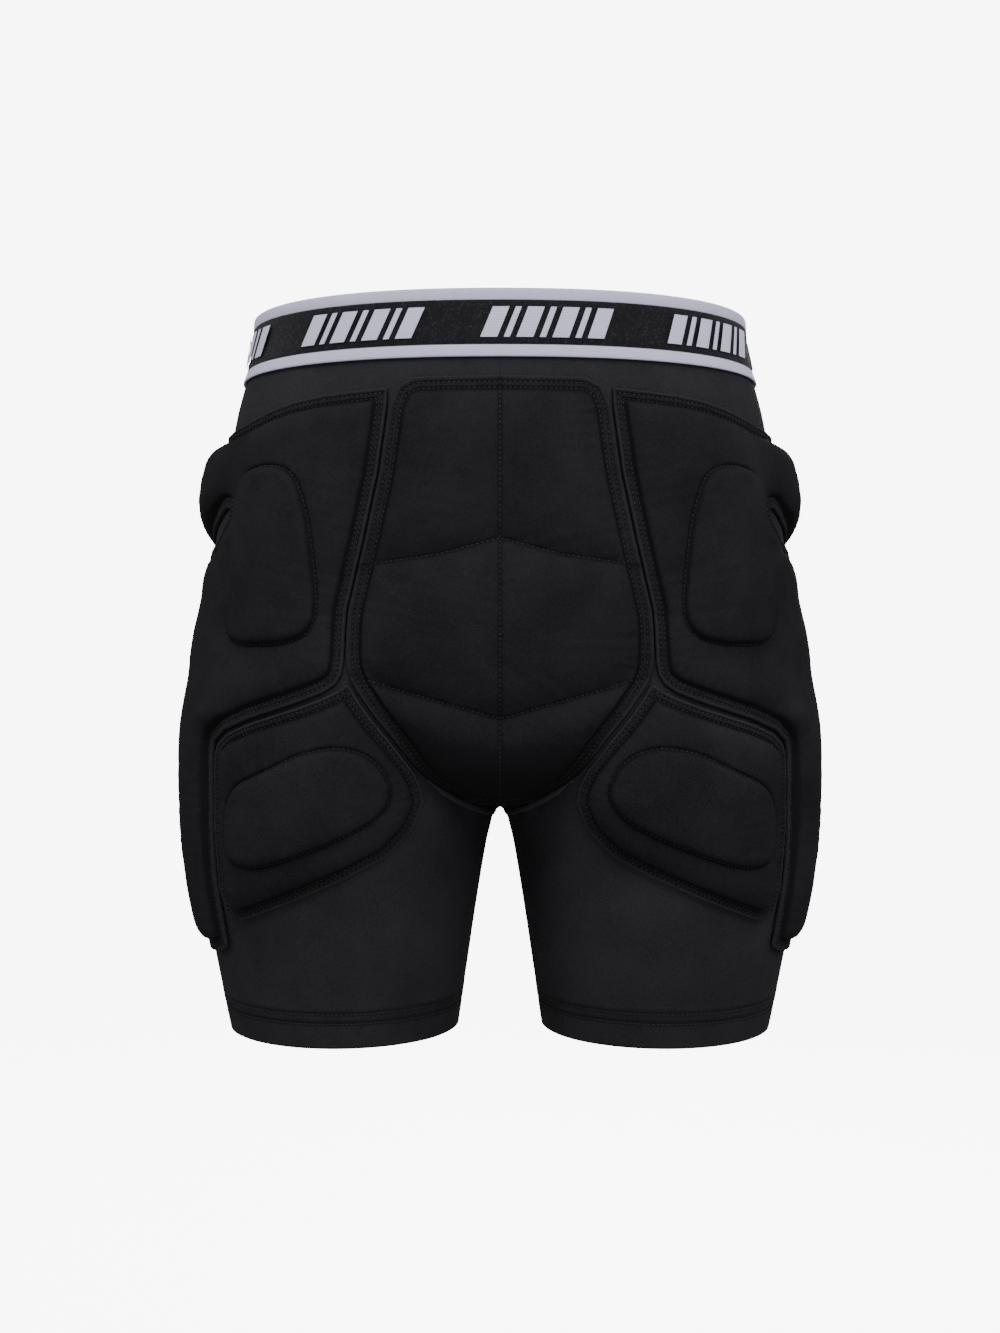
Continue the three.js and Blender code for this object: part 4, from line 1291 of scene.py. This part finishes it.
class SHORTS_OT_waistband(bpy.types.Operator):
    """Makes the woven elastic waistband and the motif along it"""

    bl_idname = "shorts.waistband"
    bl_label = "Waistband"

    def ring(self, level, out, count=360):
        """A loop round the waist at a level, starting at the middle of the front."""
        turn = np.linspace(0, 2 * math.pi, count, endpoint=False)
        half, front, back = (float(v[0]) for v in trunk_sizes(np.array([min(level, 0.0)])))
        x, y = np.sin(turn), -np.cos(turn)
        power = 2 / FULLNESS
        depth = np.where(y < 0, -front, back) + out
        p = np.stack([(half + out) * np.sign(x) * np.abs(x) ** power,
                      depth * np.sign(y) * np.abs(y) ** power, np.full(count, level)], 1)
        p = evenly(p, np.linalg.norm(np.diff(np.vstack([p, p[:1]]), axis=0), axis=1).sum()
                   / count, True)
        return p[:count]

    def execute(self, context):
        sizes = context.scene.shorts_sizes
        # Section: level and distance out from the form, down the face and back up inside.
        face = [(-0.1, 0.9), (-0.5, 1.5), (-1.4, 1.9), (-4, 2.0), (-6.6, 2.05), (-7.2, 1.8),
                (-7.8, 2.05), (-12, 2.15), (-20, 2.3), (-28, 2.6), (-32.2, 2.85),
                (-32.8, 2.6), (-33.4, 2.9), (-36, 3.1), (-38.6, 3.45), (-39.6, 3.3),
                (-40, 2.9)]
        inner = [(-39.8, 2.0), (-39, 1.75), (-33, 1.7), (-30.5, 1.6), (-29.5, 0.3), (-20, 0.2),
                 (-7, 0.15), (-1.2, 0.1), (-0.3, 0.35)]
        rows = [self.ring(z, out) for z, out in face + inner]
        n = min(len(r) for r in rows)
        rows = [r[:n] for r in rows]
        verts = np.vstack(rows)
        around = 2 * math.pi * WAIST_MEAN
        uv, faces = [], []
        for z, _ in face + inner:
            uv += [(around * k / n, z) for k in range(n)]
        for i in range(len(rows)):
            j = (i + 1) % len(rows)
            for k in range(n):
                m = (k + 1) % n
                faces.append((i * n + k, i * n + m, j * n + m, j * n + k))
        band = put("waistband_elastic", verts, faces, material("woven_waist_elastic"), uv)
        face_out(band)
        mesh = bmesh.new()
        mesh.from_mesh(band.data)
        # The layout runs on past the seam at the middle of the front.
        layer = mesh.loops.layers.uv["cloth"]
        for f in mesh.faces:
            runs = [loop[layer].uv.x for loop in f.loops]
            if max(runs) - min(runs) > 0.4:
                for loop in f.loops:
                    if loop[layer].uv.x < 0.2:
                        loop[layer].uv.x += around * MM
        mesh.to_mesh(band.data)
        mesh.free()
        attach(band, "hips")
        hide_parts("waistband")
        self.motif(sizes)
        return {"FINISHED"}

    def motif(self, sizes):
        """Slanted bars, wide and narrow in turn, the same at each repeat."""
        shapes, top, low = [], -11.2, -28.8
        at = -41.0
        for wide in (9.4, 3.4, 9.4, 3.4, 9.4, 3.4, 9.4):
            shapes.append([(at, low), (at + wide, low), (at + wide + 7, top), (at + 7, top)])
            at += wide + 3.6
        verts, faces = [], []
        for shape in shapes:
            a, b, c, d = (np.array(p, float) for p in shape)
            across, up, first = 4, 6, len(verts)
            for i in range(across + 1):
                for j in range(up + 1):
                    s, t = i / across, j / up
                    p = (a * (1 - s) + b * s) * (1 - t) + (d * (1 - s) + c * s) * t
                    edge = 1 if 0 < i < across and 0 < j < up else 0
                    verts.append((p[0] + 30, 0.10 + 0.16 * edge, p[1]))
            for i in range(across):
                for j in range(up):
                    k = first + i * (up + 1) + j
                    faces.append((k, k + up + 1, k + up + 2, k + 1))
        flat = put("motif_flat", verts, faces, None)
        loops = []
        for level, out in ((0.0, 2.1), (-BAND_HEIGHT, 3.0)):
            ring = self.ring(level, out)
            mesh = bpy.data.meshes.new("path")
            n = len(ring)
            mesh.from_pydata((ring * MM).tolist(), [(i, (i + 1) % n) for i in range(n)], [])
            loops.append(bpy.data.objects.new("path", mesh))
            bpy.context.scene.collection.objects.link(loops[-1])
        ring = self.ring(-20.0, 2.3)
        whole = np.linalg.norm(np.roll(ring, -1, 0) - ring, axis=1).sum()
        made = grown(flat, motif_tree(), {
            "Repeats": sizes.motif_repeats, "Pitch": whole * MM / sizes.motif_repeats,
            "Top path": loops[0], "Bottom path": loops[1], "Band height": BAND_HEIGHT * MM,
            "Yarn": material("pale_motif_yarn")}, "waistband_motif")
        for path in loops:
            bpy.data.objects.remove(path)
        mesh = bmesh.new()
        mesh.from_mesh(made.data)
        for f in mesh.faces:
            centre = f.calc_center_median()
            if f.normal.x * centre.x + f.normal.y * centre.y < 0:
                f.normal_flip()
            f.smooth = True
        mesh.to_mesh(made.data)
        mesh.free()
        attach(made, "hips")


class SHORTS_OT_belly_panel(bpy.types.Operator):
    """Makes the quilted pad over the belly"""

    bl_idname = "shorts.belly_panel"
    bl_label = "Belly panel"

    def execute(self, context):
        sizes = context.scene.shorts_sizes
        half = np.array(BELLY, float)
        loop = soft_loop(np.vstack([half, half[::-1][1:-1] * [-1, 1]]), grow=0.25)
        made = panel("belly_panel", "F", loop, sizes.belly_foam / MM, 9.0, lines=BELLY_SEAMS,
                     edge=1.28)
        finish_panel(made, "middle", "hips", ["center_cover"] + [
            f"center_foam_{row}_{side}" for row in ("upper", "middle", "lower")
            for side in SIDES])
        return {"FINISHED"}


class SHORTS_OT_side_panels(bpy.types.Operator):
    """Makes the two pads that run round the hips, over the seat and down the outer thighs"""

    bl_idname = "shorts.side_panels"
    bl_label = "Side panels"

    def execute(self, context):
        sizes = context.scene.shorts_sizes
        loop = soft_loop(laid_out(SIDE), soften=2.0, grow=0.25,
                         wide=lambda at: ease((at[:, 0] - 185) / 15))
        oval = soft_loop(laid_out(HIP_OVAL), soften=5.0)
        thin = sizes.hip_foam / sizes.side_foam

        def shape(at):
            """Thin over the hip, thick down the side and over the seat, a valley between.

            u runs round from the front, so the seat is past about 235, and z is the level."""
            u, z = at[:, 0], at[:, 1]
            valley = 108 - (z + 66) * 0.3
            side = 108 - 56 * ease((-235 - z) / 30)
            start = side + (valley - side) * ease((z + 150) / 40)
            thick = thin + (1 - thin) * ease((u - start) / 42)
            below = ease((z + 212) / 45) * ease((-136 - z) / 10) * (1 - ease((u - 235) / 15))
            below = below * ease((u - 98) / 16)
            thick = thick * (1 - 0.56 * below) * (1 - 0.34 * ease((-285 - z) / 60))
            thick = thick * (1 + 0.12 * ease((u - 140) / 25) * ease((z + 150) / 25))
            dip = np.exp(-(((u - valley) / 11) ** 2)) * ease((z + 150) / 30)
            return thick * (1 - 0.34 * dip)

        def soft(at):
            """The oval's step fades away round the side of the hip."""
            return ease((at[:, 0] - 82 - 14 * ease((-150 - at[:, 1]) / 30)) / 40)

        made = panel("side_panel", "side", loop, sizes.side_foam / MM, 13.0, shape,
                     lines=SEAT_SEAMS, ovals=[(oval, sizes.oval_rise / MM, soft)], edge=1.08)
        for side in SIDES:
            finish_panel(made, side, "bend", [
                n + side for n in ("hip_cover_", "hip_foam_", "side_foam_upper_",
                                   "side_cover_", "side_foam_", "seat_cover_", "seat_foam_")])
        return {"FINISHED"}


class SHORTS_OT_thigh_panels(bpy.types.Operator):
    """Makes the two pads on the front of the thighs"""

    bl_idname = "shorts.thigh_panels"
    bl_label = "Thigh panels"

    def execute(self, context):
        sizes = context.scene.shorts_sizes
        loop = soft_loop(np.array(THIGH, float), soften=2.0, grow=0.25)
        oval = soft_loop(np.array(THIGH_OVAL, float), soften=6.0)
        made = panel("thigh_panel", "F", loop, sizes.thigh_foam / MM, 9.0, edge=0.96,
                     ovals=[(oval, sizes.oval_rise / MM, lambda at: 0.0 * at[:, 0])])
        for side in SIDES:
            finish_panel(made, side, "bend", ["thigh_cover_" + side,
                                                   "thigh_foam_" + side])
        return {"FINISHED"}


class SHORTS_OT_tailbone_panel(bpy.types.Operator):
    """Makes the pad over the tailbone"""

    bl_idname = "shorts.tailbone_panel"
    bl_label = "Tailbone panel"

    def execute(self, context):
        sizes = context.scene.shorts_sizes
        half = np.array(TAIL, float)
        loop = soft_loop(np.vstack([half, half[::-1][1:-1] * [-1, 1]]))
        made = panel("tailbone_panel", "B", loop, sizes.tail_foam / MM, 12.0,
                     lines=[([(-30, -132), (0, -138), (30, -132)], 3.4, 10.0),
                            ([(-30, -180), (0, -188), (30, -180)], 3.4, 10.0)])
        finish_panel(made, "middle", "hips", ["tailbone_cover", "tailbone_foam"])
        return {"FINISHED"}


STEPS = ("stage", "cloth", "waistband", "belly_panel", "side_panels", "thigh_panels",
         "tailbone_panel")


class SHORTS_PT_panel(bpy.types.Panel):
    """Lists the sizes, the colours and the steps that build the shorts"""

    bl_idname = "SHORTS_PT_panel"
    bl_label = "Impact Shorts"
    bl_space_type = "VIEW_3D"
    bl_region_type = "UI"
    bl_category = "Impact Shorts"

    def draw(self, context):
        for name in ShortsSizes.__annotations__:
            self.layout.prop(context.scene.shorts_sizes, name)
        for step in STEPS:
            self.layout.operator("shorts." + step)


CLASSES = (ShortsSizes, SHORTS_OT_stage, SHORTS_OT_cloth, SHORTS_OT_waistband,
           SHORTS_OT_belly_panel, SHORTS_OT_side_panels, SHORTS_OT_thigh_panels,
           SHORTS_OT_tailbone_panel, SHORTS_PT_panel)


def register():
    """Adds the sizes, the operators and the panel."""
    for item in CLASSES:
        bpy.utils.register_class(item)
    bpy.types.Scene.shorts_sizes = bpy.props.PointerProperty(type=ShortsSizes)


def unregister():
    """Takes them away again."""
    del bpy.types.Scene.shorts_sizes
    for item in reversed(CLASSES):
        bpy.utils.unregister_class(item)


def main():
    """Builds every piece."""
    register()
    for step in STEPS:
        getattr(bpy.ops.shorts, step)()


if __name__ == "__main__":
    main()
